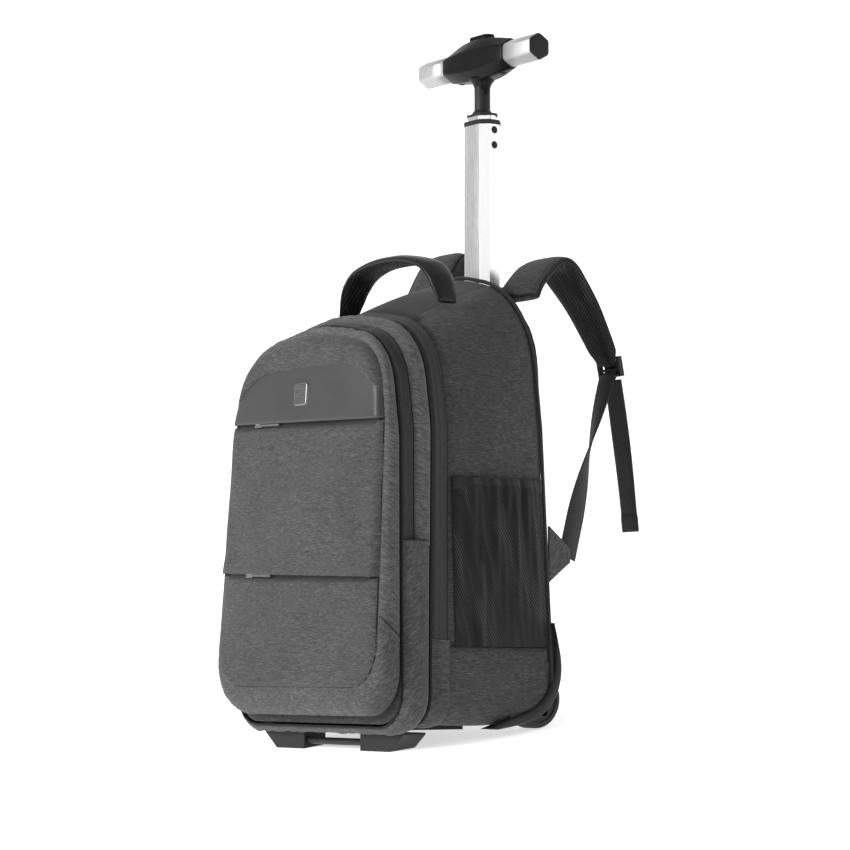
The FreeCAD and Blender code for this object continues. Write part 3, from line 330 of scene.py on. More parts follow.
def make_piece(name, points, faces, material, body):
    """A smooth mesh piece from case-frame points; it rides on a body."""
    mesh = bpy.data.meshes.new(name)
    mesh.from_pydata(to_row(points).tolist(), [], faces)
    mesh.materials.append(MAT[material])
    mesh.validate()
    build = bmesh.new()
    build.from_mesh(mesh)
    bmesh.ops.remove_doubles(build, verts=build.verts, dist=1e-6)
    bmesh.ops.recalc_face_normals(build, faces=build.faces)
    build.to_mesh(mesh)
    build.free()
    mesh.polygons.foreach_set("use_smooth", [True] * len(mesh.polygons))
    item = bpy.data.objects.new(name, mesh)
    bpy.context.scene.collection.objects.link(item)
    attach(item, body)
    return item


def grid_faces(rows, columns, wrap_columns=False, wrap_rows=False):
    """Quads of a rows by columns grid of points."""
    faces = []
    for r in range(rows if wrap_rows else rows - 1):
        for c in range(columns if wrap_columns else columns - 1):
            a = r * columns + c
            b = r * columns + (c + 1) % columns
            d = ((r + 1) % rows) * columns + c
            e = ((r + 1) % rows) * columns + (c + 1) % columns
            faces.append((a, b, e, d))
    return faces


def tube(name, points, radius, material, body, sides, closed=False):
    """A round cord along case-frame points, closed at its ends."""
    points = np.asarray(points, float)
    count = len(points)
    tangents = np.zeros_like(points)
    for k in range(count):
        before = points[k - 1] if (k or closed) else points[k]
        after = points[(k + 1) % count] if (k < count - 1 or closed) else points[k]
        tangents[k] = (after - before) / max(np.linalg.norm(after - before), 1e-9)
    side = np.cross(tangents[0], [0.31, 0.17, 0.93])
    side /= np.linalg.norm(side)
    rings = []
    for k in range(count):
        side = side - tangents[k] * side.dot(tangents[k])
        side /= np.linalg.norm(side)
        other = np.cross(tangents[k], side)
        for j in range(sides):
            angle = math.tau * j / sides
            rings.append(points[k] + (side * math.cos(angle) + other * math.sin(angle)) * radius)
    faces = grid_faces(count, sides, wrap_columns=True, wrap_rows=closed)
    if not closed:
        faces.append(tuple(range(sides)))
        faces.append(tuple(range((count - 1) * sides, count * sides)))
    return make_piece(name, rings, faces, material, body)


def thicken(item):
    """Gives a flat sheet the thickness of webbing."""
    solid = item.modifiers.new("thickness", "SOLIDIFY")
    solid.thickness = 0.0016
    solid.offset = 0.0


def resample(points, step):
    """A polyline's points at an even spacing."""
    points = np.asarray(points, float)
    lengths = np.r_[0, np.cumsum(np.linalg.norm(np.diff(points, axis=0), axis=1))]
    count = max(int(lengths[-1] / step), 2)
    wanted = np.linspace(0, lengths[-1], count + 1)
    return np.stack([np.interp(wanted, lengths, points[:, k]) for k in range(3)], -1)


SPLINE_STEPS = 24


def spline(points, step):
    """A Catmull-Rom curve through points, evenly sampled."""
    points = np.asarray(points, float)
    padded = np.vstack([2 * points[0] - points[1], points, 2 * points[-1] - points[-2]])
    fine = []
    for k in range(1, len(padded) - 2):
        p0, p1, p2, p3 = padded[k - 1:k + 3]
        for t in np.linspace(0, 1, SPLINE_STEPS, endpoint=False):
            fine.append(0.5 * (2 * p1 + (p2 - p0) * t + (2 * p0 - 5 * p1 + 4 * p2 - p3) * t ** 2
                               + (3 * p1 - p0 - 3 * p2 + p3) * t ** 3))
    fine.append(padded[-2])
    return resample(fine, step)


STITCH_LENGTH, STITCH_GAP, STITCH_WIDTH = 2.2, 1.5, 0.45     # mm
STITCH_SECTIONS = ((0, 0.0, 0.35), (0.2, 0.75, 1.0), (0.8, 0.75, 1.0), (1, 0.0, 0.35))


def stitches(name, points, normals, material, body):
    """A row of thread stitches: short capsules lying on a surface along a path. Each section of
    a stitch is (share of its length, lift, spread)."""
    points = np.asarray(points, float)
    normals = np.asarray(normals, float)
    lengths = np.r_[0, np.cumsum(np.linalg.norm(np.diff(points, axis=0), axis=1))]
    starts = np.arange(0.5, lengths[-1] - STITCH_LENGTH, STITCH_LENGTH + STITCH_GAP)
    verts = []
    faces = []

    def at(distance, table):
        return np.array([np.interp(distance, lengths, table[:, k]) for k in range(3)])

    for start in starts:
        normal = at(start, normals)
        normal /= np.linalg.norm(normal)
        a, b = at(start, points), at(start + STITCH_LENGTH, points)
        along = (b - a) / np.linalg.norm(b - a)
        across = np.cross(along, normal) * STITCH_WIDTH
        base = len(verts)
        for share, lift, spread in STITCH_SECTIONS:
            centre = a + (b - a) * share
            verts += [centre - across * spread, centre + normal * STITCH_WIDTH * (0.3 + lift),
                      centre + across * spread]
        for k in range(3):
            r = base + 3 * k
            faces += [(r, r + 1, r + 4, r + 3), (r + 1, r + 2, r + 5, r + 4)]
    return make_piece(name, verts, faces, material, body)


# ---------------------------------------------------------------- the bag's outlines

CORNER_STEPS = (10, 8, 12, 10)
RUN_STEPS = (34, 56, 30, 24)


def outline(low_half, mid_half, high_half, low, mid, high, peak, low_round, shoulder,
            low_y, high_y):
    return dict(low_half=low_half, mid_half=mid_half, high_half=high_half, low=low, mid=mid,
                high=high, peak=peak, low_round=low_round, shoulder=shoulder, low_y=low_y,
                high_y=high_y)


REAR = outline(154, 134.5, 115, 28, 320, 466, 485, 14, 112, -33, -33)
FRONT = outline(151, 141, 120, 26, 316, 416, 433, 28, 78, -182.5, -168.5)
ORGANISER = outline(146.5, 137, 118, 22, 312, 408, 425, 38, 70, -210.5, -204)
POCKET = outline(145, 136, 117, 34, 305, 404, 421, 42, 66, -211.2, -204.6)
FACE = outline(139.5, 131.5, 116, 62, 320, 398, 414, 38, 58, -239, -216)


def between(first, second, share):
    return {key: first[key] + (second[key] - first[key]) * share for key in first}


def half_ring(shape, grow=0.0):
    """The right half of an outline, bottom centre to top centre, as (x, z) points."""
    corners = np.array([(0, shape["low"] - grow), (shape["low_half"] + grow, shape["low"] - grow),
                        (shape["mid_half"] + grow, shape["mid"]),
                        (shape["high_half"] + grow, shape["high"] + grow),
                        (0, shape["peak"] + grow)], float)
    radii = [max(shape["low_round"] + grow, 4.0), 100.0, shape["shoulder"] + grow]
    ends = []
    arcs = []
    for k, radius in zip((1, 2, 3), radii):
        corner = corners[k]
        back = corners[k - 1] - corner
        ahead = corners[k + 1] - corner
        back /= np.linalg.norm(back)
        ahead /= np.linalg.norm(ahead)
        turn = math.pi - math.acos(np.clip(back.dot(ahead), -1, 1))
        reach = radius * math.tan(turn / 2)
        bisector = (back + ahead) / np.linalg.norm(back + ahead)
        centre = corner + bisector * radius / math.cos(turn / 2)
        start, end = corner + back * reach, corner + ahead * reach
        first = math.atan2(*(start - centre)[::-1])
        last = math.atan2(*(end - centre)[::-1])
        if last < first:
            last += math.tau
        steps = CORNER_STEPS[k - 1]
        angles = np.linspace(first, last, steps + 1)
        arcs.append(np.stack([centre[0] + radius * np.cos(angles),
                              centre[1] + radius * np.sin(angles)], -1))
        ends.append((start, end))
    path = []
    previous = corners[0]
    for k in range(3):
        run = np.linspace(previous, ends[k][0], RUN_STEPS[k], endpoint=False)
        path.append(run)
        path.append(arcs[k][:-1])
        previous = ends[k][1]
    tail = np.linspace(previous, corners[4], RUN_STEPS[3] + 1)
    rise = tail[-1, 1] - tail[0, 1]
    share = tail[:, 0] / max(tail[0, 0], 1e-6)
    tail[:, 1] = tail[0, 1] + rise * (1 - share ** 1.6)
    path.append(tail)
    return np.vstack(path)


def ring(shape, grow=0.0, sink=0.0):
    """A closed ring (case frame) round an outline: bottom centre, right side, top, left side."""
    right = half_ring(shape, grow)
    left = right[::-1][1:-1] * [-1, 1]
    flat = np.vstack([right, left])
    share = (flat[:, 1] - shape["low"]) / (shape["peak"] - shape["low"])
    y = shape["low_y"] + (shape["high_y"] - shape["low_y"]) * share + sink
    return np.stack([flat[:, 0], y, flat[:, 1]], -1)


RING_COUNT = len(ring(REAR))
HALF_COUNT = len(half_ring(REAR))


def ring_normals(shape):
    """Outward directions in the XZ plane at each ring point."""
    points = ring(shape)
    ahead = np.roll(points, -1, 0) - np.roll(points, 1, 0)
    normal = np.stack([ahead[:, 2], np.zeros(len(points)), -ahead[:, 0]], -1)
    return normal / np.linalg.norm(normal, axis=1)[:, None]


def loft_band(name, stations, material, keep=None, shape_fn=None):
    """A skin through rings. stations are (outline, grow, sink); keep picks ring points."""
    rings = [ring(shape, grow, sink) for shape, grow, sink in stations]
    if shape_fn:
        rings = [shape_fn(points, k / (len(rings) - 1)) for k, points in enumerate(rings)]
    if keep is not None:
        rings = [points[keep] for points in rings]
    faces = grid_faces(len(rings), len(rings[0]), wrap_columns=keep is None)
    return make_piece(name, np.vstack(rings), faces, material, "case")


def arch_indices(foot):
    """Ring points from height foot on the right side, over the top, down to foot on the left."""
    points = ring(FRONT)
    right = [k for k in range(HALF_COUNT) if points[k, 2] > foot]
    left = [k for k in range(HALF_COUNT, RING_COUNT) if points[k, 2] > foot]
    return np.array(right + left)


def bowl_indices(top):
    """Ring points from height top on the left side, round the bottom, to top on the right."""
    points = ring(FRONT)
    right = [k for k in range(HALF_COUNT) if points[k, 2] < top]
    left = [k for k in range(HALF_COUNT, RING_COUNT) if points[k, 2] < top]
    return np.array(left + right)


# ---------------------------------------------------------------- main compartment

def wobble(points, amount, seed):
    """Slow irregular displacement, the same on each run."""
    x, y, z = points[..., 0], points[..., 1], points[..., 2]
    phase = seed * 1.7
    swell = np.sin(0.021 * z + 0.03 * y + phase) * np.sin(0.027 * y - 0.018 * x + 2 * phase)
    return amount * (swell + 0.5 * np.sin(0.045 * z - 0.05 * y + 0.011 * x + 3 * phase))


BAND_FRONT = 0.99
BAND_REAR = 0.865


def rear_limit(z):
    """How far back the fabric reaches at a height: it tucks in round the wheel guards."""
    return np.interp(z, (20, 25, 28, 33, 38, 46, 58, 72, 88, 104, 124),
                     (-100, -84, -72, -58, -48, -38, -30, -26, -24.5, -27, -20))


def tuck(points):
    """Rounds the lower rear corner of the main compartment."""
    tucked = points.copy()
    limit = rear_limit(points[:, 2]) - 3.0
    tucked[:, 1] = np.minimum(points[:, 1], limit)
    return tucked


def side_crown(points, t):
    """The side and top panels bulge between the piping and the zip band."""
    normal = ring_normals(FRONT)
    lift = 4.0 * math.sin(math.pi * min(max(t, 0), 1)) ** 0.7
    z = points[:, 2]
    low = smooth((z - 40) / 60)
    seam = -1.6 * np.exp(-((z - 102.5) / 2.2) ** 2) * (abs(points[:, 0]) > 100)
    body = lift * (0.25 + 0.75 * low) + seam + wobble(points, 0.8, 1) * math.sin(math.pi * t)
    return tuck(points + normal * body[:, None])


stations = []
for k in range(41):
    share = BAND_REAR * k / 40
    edge = 1 - smooth(min(k, 40 - k) / 3.0)
    stations.append((between(REAR, FRONT, share), -1.6 * float(edge), 0.0))
# the side skin takes the darker heather copy as painted shade
main_body = loft_band("main_body_skin", stations, "heather_side_painted_shade",
                      shape_fn=side_crown)
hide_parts("main_shell")


def close_ring(name, shape, grow, sink, material):
    """A flat-ish panel that closes a ring, at the back or the front."""
    edge = ring(shape, grow, sink)
    centre = edge.mean(0)
    rings = [edge + (centre - edge) * share for share in (0, 0.05, 0.2, 0.45, 0.7, 0.9)]
    rings = [tuck(points) if shape is REAR else points for points in rings]
    points = np.vstack(rings + [centre[None]])
    faces = grid_faces(len(rings), RING_COUNT, wrap_columns=True)
    last = (len(rings) - 1) * RING_COUNT
    hub = len(rings) * RING_COUNT
    faces += [(last + k, last + (k + 1) % RING_COUNT, hub) for k in range(RING_COUNT)]
    return make_piece(name, points, faces, material, "case")


close_ring("main_back_panel", REAR, -1.6, 0.0, "heather_side_painted_shade")
close_ring("main_front_panel", FRONT, -4.0, 0.0, "heather_side_painted_shade")
close_ring("organiser_front_panel", ORGANISER, -5.0, 1.0, "heather_side_painted_shade")


def top_seam_x(y):
    """Distance from the centre of the seam between the top panel and a side panel."""
    return 58 + (-33 - y) * 0.21


def paint(item, *choices):
    """Further materials for faces: choices are (material, test of a face centre in case mm)."""
    mesh = item.data
    for number, (material, test) in enumerate(choices, start=1):
        mesh.materials.append(MAT[material])
        for face in mesh.polygons:
            row = face.center
            y = row.y - SHIFT_Y
            z = row.z - SHIFT_Z
            place = (row.x / MM, (y * COS - z * SIN) / MM, (y * SIN + z * COS) / MM)
            if test(*place):
                face.material_index = number


# the top panel's faces take the darker heather copy as painted shade
paint(main_body, ("heather_top_painted_shade", lambda x, y, z: abs(x) < top_seam_x(y) and z > 300))


# the double topstitch beside the top seam
for side, name in ((1, "right"), (-1, "left")):
    for offset, row_name in ((2.4, "outer"), (-2.4, "inner")):
        path = []
        normals = []
        for k in range(2, 39):
            share = BAND_REAR * k / 40
            shape = between(REAR, FRONT, share)
            points = side_crown(ring(shape), k / 40)
            order = [j for j in range(RING_COUNT) if points[j, 2] > 380
                     and points[j, 0] * side > 5]
            xs = np.array([points[j, 0] * side for j in order])
            wanted = top_seam_x(points[0, 1]) + offset
            rank = np.argsort(xs)
            table = points[order][rank]
            path.append([np.interp(wanted, xs[rank], table[:, c]) for c in range(3)])
            normals.append([0.28 * side, 0.0, 0.96])
        stitches(f"top_seam_stitch_{name}_{row_name}", path, normals, "thread_light", "case")
        if offset > 0:
            inner = np.array(path) - [2.4 * side, 0, 0.2]
            tube(f"top_seam_{name}", spline(inner, 4), 0.55, "seam", "case", 6)


# ---------------------------------------------------------------- zip bands and strips

def band_profile(near, far, shares, base, seams, rib):
    """Stations across a flat band with raised ribs at the seams and its edges tucked in."""
    made = []
    for t in np.linspace(0, 1, 33):
        share = shares[0] + (shares[1] - shares[0]) * t
        ridge = sum(rib * math.exp(-((t - seam) / 0.035) ** 2) for seam in seams)
        edge = -1.6 * (1 - smooth(min(t, 1 - t) / 0.10))
        made.append((between(near, far, share), base + ridge + float(edge), 0.0))
    return made


ARCH_MAIN = arch_indices(97)
main_band = loft_band("main_zip_band_skin",
                      band_profile(REAR, FRONT, (BAND_REAR, BAND_FRONT), 1.6,
                                   (0.16, 0.5, 0.84), 0.5),
                      "zip_band", keep=ARCH_MAIN)
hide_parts("main_zip_band")
BOWL_MAIN = bowl_indices(113)
loft_band("lower_side_panel",
          [(between(REAR, FRONT, BAND_REAR - 0.02 + 0.15 * t),
            0.4 + 2.6 * math.sin(math.pi * min(t * 0.8 + 0.1, 1)), 0.0)
           for t in np.linspace(0, 1, 15)],
          "heather_side_painted_shade", keep=BOWL_MAIN)
ARCH_ORGANISER = arch_indices(203)


def corner_sink(points, t):
    """The organiser's zip band sinks into a pocket of shadow at its shoulders."""
    normal = ring_normals(FRONT)
    depth = np.exp(-((points[:, 2] - 392) / 26) ** 2) * (abs(points[:, 0]) > 60)
    return points - normal * (4.0 * depth * math.sin(math.pi * t))[:, None]


organiser_band = loft_band("organiser_zip_band_skin",
                           band_profile(FRONT, ORGANISER, (0.60, 0.985), 0.2,
                                        (0.2, 0.36, 0.52, 0.8), 0.45),
                           "zip_band", keep=ARCH_ORGANISER, shape_fn=corner_sink)
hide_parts("organiser_zip_band")


STRIP_STEPS = 22
STRIP_TUCK = 2.4     # how far a strip's edges sink into its seams, mm


def strip_profile(near, far, shares, height):
    """Stations across a puffy strip, tucked in at both seams."""
    made = []
    for t in np.linspace(0, 1, STRIP_STEPS + 1):
        share = shares[0] + (shares[1] - shares[0]) * t
        crown = 1 - abs(2 * t - 1) ** 2.4
        made.append((between(near, far, share), height * crown - STRIP_TUCK * (1 - crown) ** 4,
                     0.0))
    return made


def ripple(seed, amount, forward=0.0):
    """Small tension wrinkles across a strip, stronger at its curves; the padding of the lower
    part swells towards the front by forward."""
    def shape(points, t):
        normal = ring_normals(FRONT)
        z, x = points[:, 2], points[:, 0]
        along = np.cumsum(np.linalg.norm(np.diff(points, axis=0, append=points[:1]), axis=1))
        curved = np.exp(-((z - 400) / 42) ** 2) + 0.8 * np.exp(-((z - 40) / 40) ** 2) + 0.15
        waves = (np.sin(along * 0.23 + seed + 2.2 * t) * np.sin(along * 0.071 + 1.3 * seed)
                 + 0.5 * np.sin(along * 0.41 + 3.1 * seed))
        swell = (amount * curved * waves + wobble(points, amount * 0.8, seed)
                 + forward * 0.5 * smooth((150 - z) / 110)) * math.sin(math.pi * t)
        moved = points + normal * swell[:, None]
        moved[:, 1] -= forward * (0.25 + 0.75 * smooth((150 - z) / 110)) * math.sin(math.pi * t)
        return moved
    return shape


ARCH_STRIP = arch_indices(196)
strip_top = loft_band("organiser_strip_upper", strip_profile(FRONT, ORGANISER, (0.03, 0.60), 5.0),
                      "heather_strip", keep=ARCH_STRIP, shape_fn=ripple(1, 0.7))
BOWL_STRIP = bowl_indices(205)
LOWER_STRIP = strip_profile(FRONT, ORGANISER, (0.03, 1.0), 6.6)
lower_strip_shape = ripple(2, 0.9)
loft_band("organiser_strip_lower", LOWER_STRIP, "heather_low", BOWL_STRIP,
          lower_strip_shape)
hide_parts("front_organiser")

ARCH_POCKET = arch_indices(86)
BOWL_POCKET = bowl_indices(91)
GUSSET = strip_profile(POCKET, FACE, (0.03, 1.0), 4.6)
gusset_shape = ripple(3, 0.6, 7.0)
gusset_top = loft_band("pocket_gusset_upper", GUSSET, "heather_strip",
                       ARCH_POCKET, gusset_shape)
loft_band("pocket_gusset_lower", GUSSET, "heather_low", BOWL_POCKET,
          gusset_shape)
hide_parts("front_pocket")


def cross_seam(name, profile, shape_fn, height):
    """The sewn joint across a strip where its upper part meets its lower part, stitched below."""
    for side, side_name in ((1, "right"), (-1, "left")):
        order = range(HALF_COUNT) if side > 0 else range(HALF_COUNT, RING_COUNT)
        index = min(order, key=lambda k: abs(ring(FRONT)[k, 2] - height))
        below = index - side
        line = []
        for k, (shape, grow, sink) in enumerate(profile):
            points = shape_fn(ring(shape, grow, sink), k / (len(profile) - 1))
            line.append((points[index], points[below], ring_normals(FRONT)[index]))
        line = line[1:-1]
        tube(f"{name}_{side_name}", [a + n * 0.3 for a, b, n in line], 0.6, "seam", "case",
             6)
        stitches(f"{name}_stitch_{side_name}", [a + (b - a) * 0.6 + n * 0.3 for a, b, n in line],
                 [n for a, b, n in line], "thread_light", "case")


cross_seam("pocket_joint", GUSSET, gusset_shape, 89)
cross_seam("organiser_joint", LOWER_STRIP, lower_strip_shape, 203)

# seam lines: a dark groove cord in each seam
for name, shape, grow, radius in (("seam_main_front", FRONT, -0.4, 1.3),
                                  ("seam_organiser_front", ORGANISER, -1.6, 1.3),
                                  ("seam_pocket_face", FACE, -1.4, 1.1)):
    tube(name, ring(shape, grow)[::2], radius, "seam", "case", 8, closed=True)
zip_gap = between(FRONT, ORGANISER, 0.60)
tube("seam_zip_gap", ring(zip_gap, -1.4)[ARCH_ORGANISER], 1.2, "seam", "case", 8)
band_edge = between(REAR, FRONT, BAND_REAR)
tube("seam_band_rear", ring(band_edge, 0.1)[ARCH_MAIN], 0.8, "seam", "case", 8)


# ---------------------------------------------------------------- front pocket face

ZIP_SLOPE = -0.035
ZIP_LINES = {"upper": 327.0, "lower": 174.0}
FACE_FALL = (FACE["high_y"] - FACE["low_y"]) / (FACE["peak"] - FACE["low"])


def face_y(z):
    return FACE["low_y"] + (z - FACE["low"]) * FACE_FALL


def distance_to(path, points):
    """Distance from 2-D points to a closed polyline, and the nearest points on it."""
    best = np.full(len(points), 1e9)
    nearest = np.zeros((len(points), 2))
    for a, b in zip(path, np.roll(path, -1, 0)):
        span = b - a
        share = np.clip(((points - a) @ span) / max(span @ span, 1e-9), 0, 1)
        foot = a + share[:, None] * span
        gap = np.linalg.norm(points - foot, axis=1)
        closer = gap < best
        best[closer] = gap[closer]
        nearest[closer] = foot[closer]
    return best, nearest


def inside(path, points):
    """Which 2-D points lie inside a closed polyline."""
    result = np.zeros(len(points), bool)
    for a, b in zip(path, np.roll(path, -1, 0)):
        crosses = (a[1] > points[:, 1]) != (b[1] > points[:, 1])
        if a[1] != b[1]:
            at_x = a[0] + (points[:, 1] - a[1]) * (b[0] - a[0]) / (b[1] - a[1])
            result ^= crosses & (points[:, 0] < at_x)
    return result


def cut_grid(border, step, edge_path):
    """A fine XZ grid cut to a border: its points, their distance to the edge, and its quads."""
    low, high = border.min(0) - step, border.max(0)
    xs = np.arange(low[0], high[0] + 2 * step, step)
    zs = np.arange(low[1], high[1] + 2 * step, step)
    grid = np.stack(np.meshgrid(xs, zs), -1).reshape(-1, 2)
    within = inside(border, grid)
    gap, nearest = distance_to(edge_path, grid)
    grid = np.where(within[:, None], grid, nearest)
    quads = np.array(grid_faces(len(zs), len(xs)))
    quads = quads[within[quads].any(1)]
    used = np.unique(quads)
    renumber = np.full(len(grid), -1)
    renumber[used] = np.arange(len(used))
    return grid[used], np.where(within, gap, 0.0)[used], renumber[quads].tolist()


def panel(name, border, height, material, step=2.0):
    """A fabric panel on the pocket's face: a fine grid cut to a border and raised by height."""
    border = np.asarray(border, float)
    flat, edge, quads = cut_grid(border, step, border)
    y = face_y(flat[:, 1]) - height(flat[:, 0], flat[:, 1], edge)
    points = np.stack([flat[:, 0], y, flat[:, 1]], -1)
    return make_piece(name, points, quads, material, "case")


FACE_EDGE = ring(FACE)[:, [0, 2]]


def zip_z(line, x):
    return ZIP_LINES[line] + ZIP_SLOPE * x


def side_roll(x, z, reach=9.0):
    """0 at the face's edge, 1 inside: the quarter-round of the padded edge."""
    gap, _ = distance_to(FACE_EDGE, np.stack([x, z], -1))
    t = np.clip(gap / reach, 0, 1)
    return np.sqrt(np.clip(1 - (1 - t) ** 2, 0, 1))


def lip_roll(gap, radius, drop):
    """How far a rolled hem falls back within radius of its edge."""
    t = np.clip(gap / radius, 0, 1)
    return drop * (1 - np.sqrt(np.clip(1 - (1 - t) ** 2, 0, 1)))


def crown(x, z, low, high, tall):
    """Slow swell of one panel between two heights."""
    across = np.clip(1 - (x / 134.0) ** 2, 0, 1) ** 0.7
    t = np.clip((z - low) / (high - low), 0, 1)
    return tall * across * np.clip(np.sin(math.pi * (0.12 + 0.76 * t)), 0, 1)


def creases(x, z):
    """Soft shallow dents and folds of an empty pocket."""
    return (0.9 * np.sin(0.035 * x + 0.9 * np.sin(0.02 * z)) * np.sin(0.024 * z + 0.5)
            + 0.5 * np.sin(0.06 * z - 0.045 * x + 1.0) + 0.25 * np.sin(0.11 * x + 0.05 * z))


def corner_dent(x, z):
    """Pulls running in from the lower right corner, where the pocket's edge turns."""
    along = (x - 118) * 0.5 + (z - 120) * 0.86
    off = (x - 118) * 0.86 - (z - 120) * 0.5
    return 1.6 * np.exp(-(off / 7.0) ** 2) * np.exp(-(along / 34.0) ** 2)


LIP_HANG = -0.9


def lip_gap(x):
    """Drop from the zip's line to the hem below it; the slit closes at its two ends."""
    return 1.6 + 3.0 * smooth((128 - np.abs(x)) / 8.0)


def split_face(low, high):
    """The border of the part of the face between two curves z = low(x) and z = high(x)."""
    edge = FACE_EDGE[:HALF_COUNT]

    def between_curves(side):
        return [(side * x, z) for x, z in edge if (low is None or z > low(side * x))
                and (high is None or z < high(side * x))]

    right, left = between_curves(1), between_curves(-1)
    top = []
    bottom = []
    if high is not None:
        top = [(x, high(x)) for x in np.linspace(right[-1][0], left[-1][0], 90)]
    if low is not None:
        bottom = [(x, low(x)) for x in np.linspace(left[0][0], right[0][0], 90)]
    return np.array(right + top + left[::-1] + bottom)


def leather_top(x):
    """Upper edge of the leatherette panel: flat in the middle, falling to both sides."""
    t = np.clip((abs(x) - 60) / 70, 0, 1)
    return 380.0 - 37.0 * t ** 1.9


def lower_height(x, z, edge):
    swell = 3.4 + crown(x, z, 66, 172, 4.6) + creases(x, z) * 0.7
    hem = lip_roll(zip_z("lower", x) - lip_gap(x) - z, 4.0, swell - 0.4)
    return (swell - hem) * side_roll(x, z) - 0.6


def middle_height(x, z, edge):
    swell = 5.4 + crown(x, z, 172, 330, 5.0) + creases(x, z) + 3.2 * np.exp(
        -((z - zip_z("lower", x)) / 14.0) ** 2) - corner_dent(x, z + 90)
    hem = lip_roll(zip_z("upper", x) - lip_gap(x) - z, 4.0, swell - 0.4)
    lip = lip_roll(z - zip_z("lower", x) - LIP_HANG, 2.0, 1.0)
    return (swell - hem - lip) * side_roll(x, z) - 0.6


def leather_height(x, z, edge):
    swell = 4.6 + crown(x, z, 322, 392, 6.0) + 2.6 * np.exp(-((z - zip_z("upper", x)) / 16.0) ** 2)
    lip = lip_roll(z - zip_z("upper", x) - LIP_HANG, 2.0, 1.2)
    return (swell - lip) * side_roll(x, z, 7.0) - 0.6


def arch_height(x, z, edge):
    swell = 8.4 + crown(x, z, 350, 420, 1.4) + 0.4 * creases(x, z)
    hem = lip_roll(z - leather_top(x), 2.6, 2.2)
    return (swell - hem) * side_roll(x, z, 11.0) - 0.6


panel("pocket_panel_lower", split_face(None, lambda x: zip_z("lower", x) - lip_gap(x)),
      lower_height, "heather")
panel("pocket_panel_middle",
      split_face(lambda x: zip_z("lower", x) + LIP_HANG, lambda x: zip_z("upper", x) - lip_gap(x)),
      middle_height, "heather")
leather_skin = panel("leather_panel_skin",
                     split_face(lambda x: zip_z("upper", x) + LIP_HANG,
                                lambda x: leather_top(x) + 3.0),
                     leather_height, "leather")
panel("pocket_panel_arch", split_face(leather_top, None), arch_height, "heather",
      1.6)
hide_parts("leather_panel")


def lip_lining(line, height, name):
    """The hem turned back under a lip, and the inside of the slit above the slider, coloured
    near-black as painted shade.
    """
    xs = np.linspace(-128, 128, 129)
    front = []
    back = []
    for x in xs:
        z = zip_z(line, x) + LIP_HANG
        reach = float(height(np.array([x]), np.array([z + 0.01]), None)[0])
        front.append((x, face_y(z) - reach, z))
        back.append((x, face_y(z + 5.6) - 0.2, z + 5.6))
    middle = [(a[0], a[1] + 0.4, a[2] + 4.6) for a in front]
    points = np.vstack([front, middle, back])
    return make_piece(name, points, grid_faces(3, len(xs)), "seam", "case")


lip_lining("upper", leather_height, "slit_lining_upper")
lip_lining("lower", middle_height, "slit_lining_lower")
for line in ZIP_LINES:
    path = [(x, face_y(zip_z(line, x)) - 1.2, zip_z(line, x)) for x in np.linspace(-123, 123, 60)]
    tube(f"zip_coil_{line}", path, 0.9, "plastic_dark", "case", 6)

# the plate on the leatherette panel
plate_border = []
for cx, cz, start in ((8, 362.2, 0), (-8, 362.2, 90), (-8, 346.2, 180), (8, 346.2, 270)):
    for step in range(7):
        angle = math.radians(start + 15 * step)
        plate_border.append((cx + 3.6 * math.cos(angle), cz + 3.6 * math.sin(angle)))
plate_base = float(leather_height(np.array([0.0]), np.array([354.0]), None)[0])
plate_skin = panel("name_plate_skin", plate_border,
                   lambda x, z, edge: plate_base + 1.5 - lip_roll(edge, 1.3, 1.4) + 0 * x,
                   "plate", 0.8)
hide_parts("name_plate")


# ---------------------------------------------------------------- mesh pockets

def side_half(y, z):
    """Half width of the main skin at a place on its side."""
    front = FRONT["low_y"] + (FRONT["high_y"] - FRONT["low_y"]) * (z - 26) / 407
    share = (y - front) / (-33 - front)
    near = 151 - 10 * (z - 26) / 290
    far = 154 - 19.5 * (z - 28) / 292
    lift = 4.0 * math.sin(math.pi * min(max((1 - share) / BAND_REAR, 0), 1)) ** 0.7
    return near + (far - near) * share + lift


MESH_FRONT, MESH_REAR, MESH_LOW, MESH_HIGH = -150.5, -36.0, 102.0, 258.0


def mesh_reach(u, v):
    """How far the pocket stands off the side: gathered folds that open towards the top."""
    rim = math.sin(math.pi * min(max(u, 0.0), 1.0)) ** 0.45
    open_up = 1.2 + 8.0 * v ** 0.8
    fan = u + 0.10 * (1 - v) * (0.5 - u)
    folds = (1.5 * math.sin(30 * fan + 2.0 * v) + 1.0 * math.sin(53 * fan - 3.0 * v + 1.0)
             + 0.6 * math.sin(87 * fan + 5.0 * v))
    folds *= (0.25 + 0.75 * v)
    tear = (u - 0.27 + 0.04 * (1 - v)) / 0.045
    overlap = 3.4 * math.exp(-tear * tear) * max(0.0, 0.55 - v) / 0.55
    diagonal = (u - 0.34 - 0.42 * (v - 0.45)) / 0.035
    crease = 2.0 * math.exp(-diagonal * diagonal) * max(0.0, v - 0.4)
    return 1.0 + rim * (open_up + folds + crease) + overlap


def side_sheet(name, side, us, vs, place, material):
    """A sheet over a side panel; place gives (y, z, how far it stands off)."""
    points = []
    for v in vs:
        for u in us:
            y, z, off = place(u, v)
            points.append((side * (side_half(y, z) + off), y, z))
    return make_piece(name, points, grid_faces(len(vs), len(us)), material, "case")


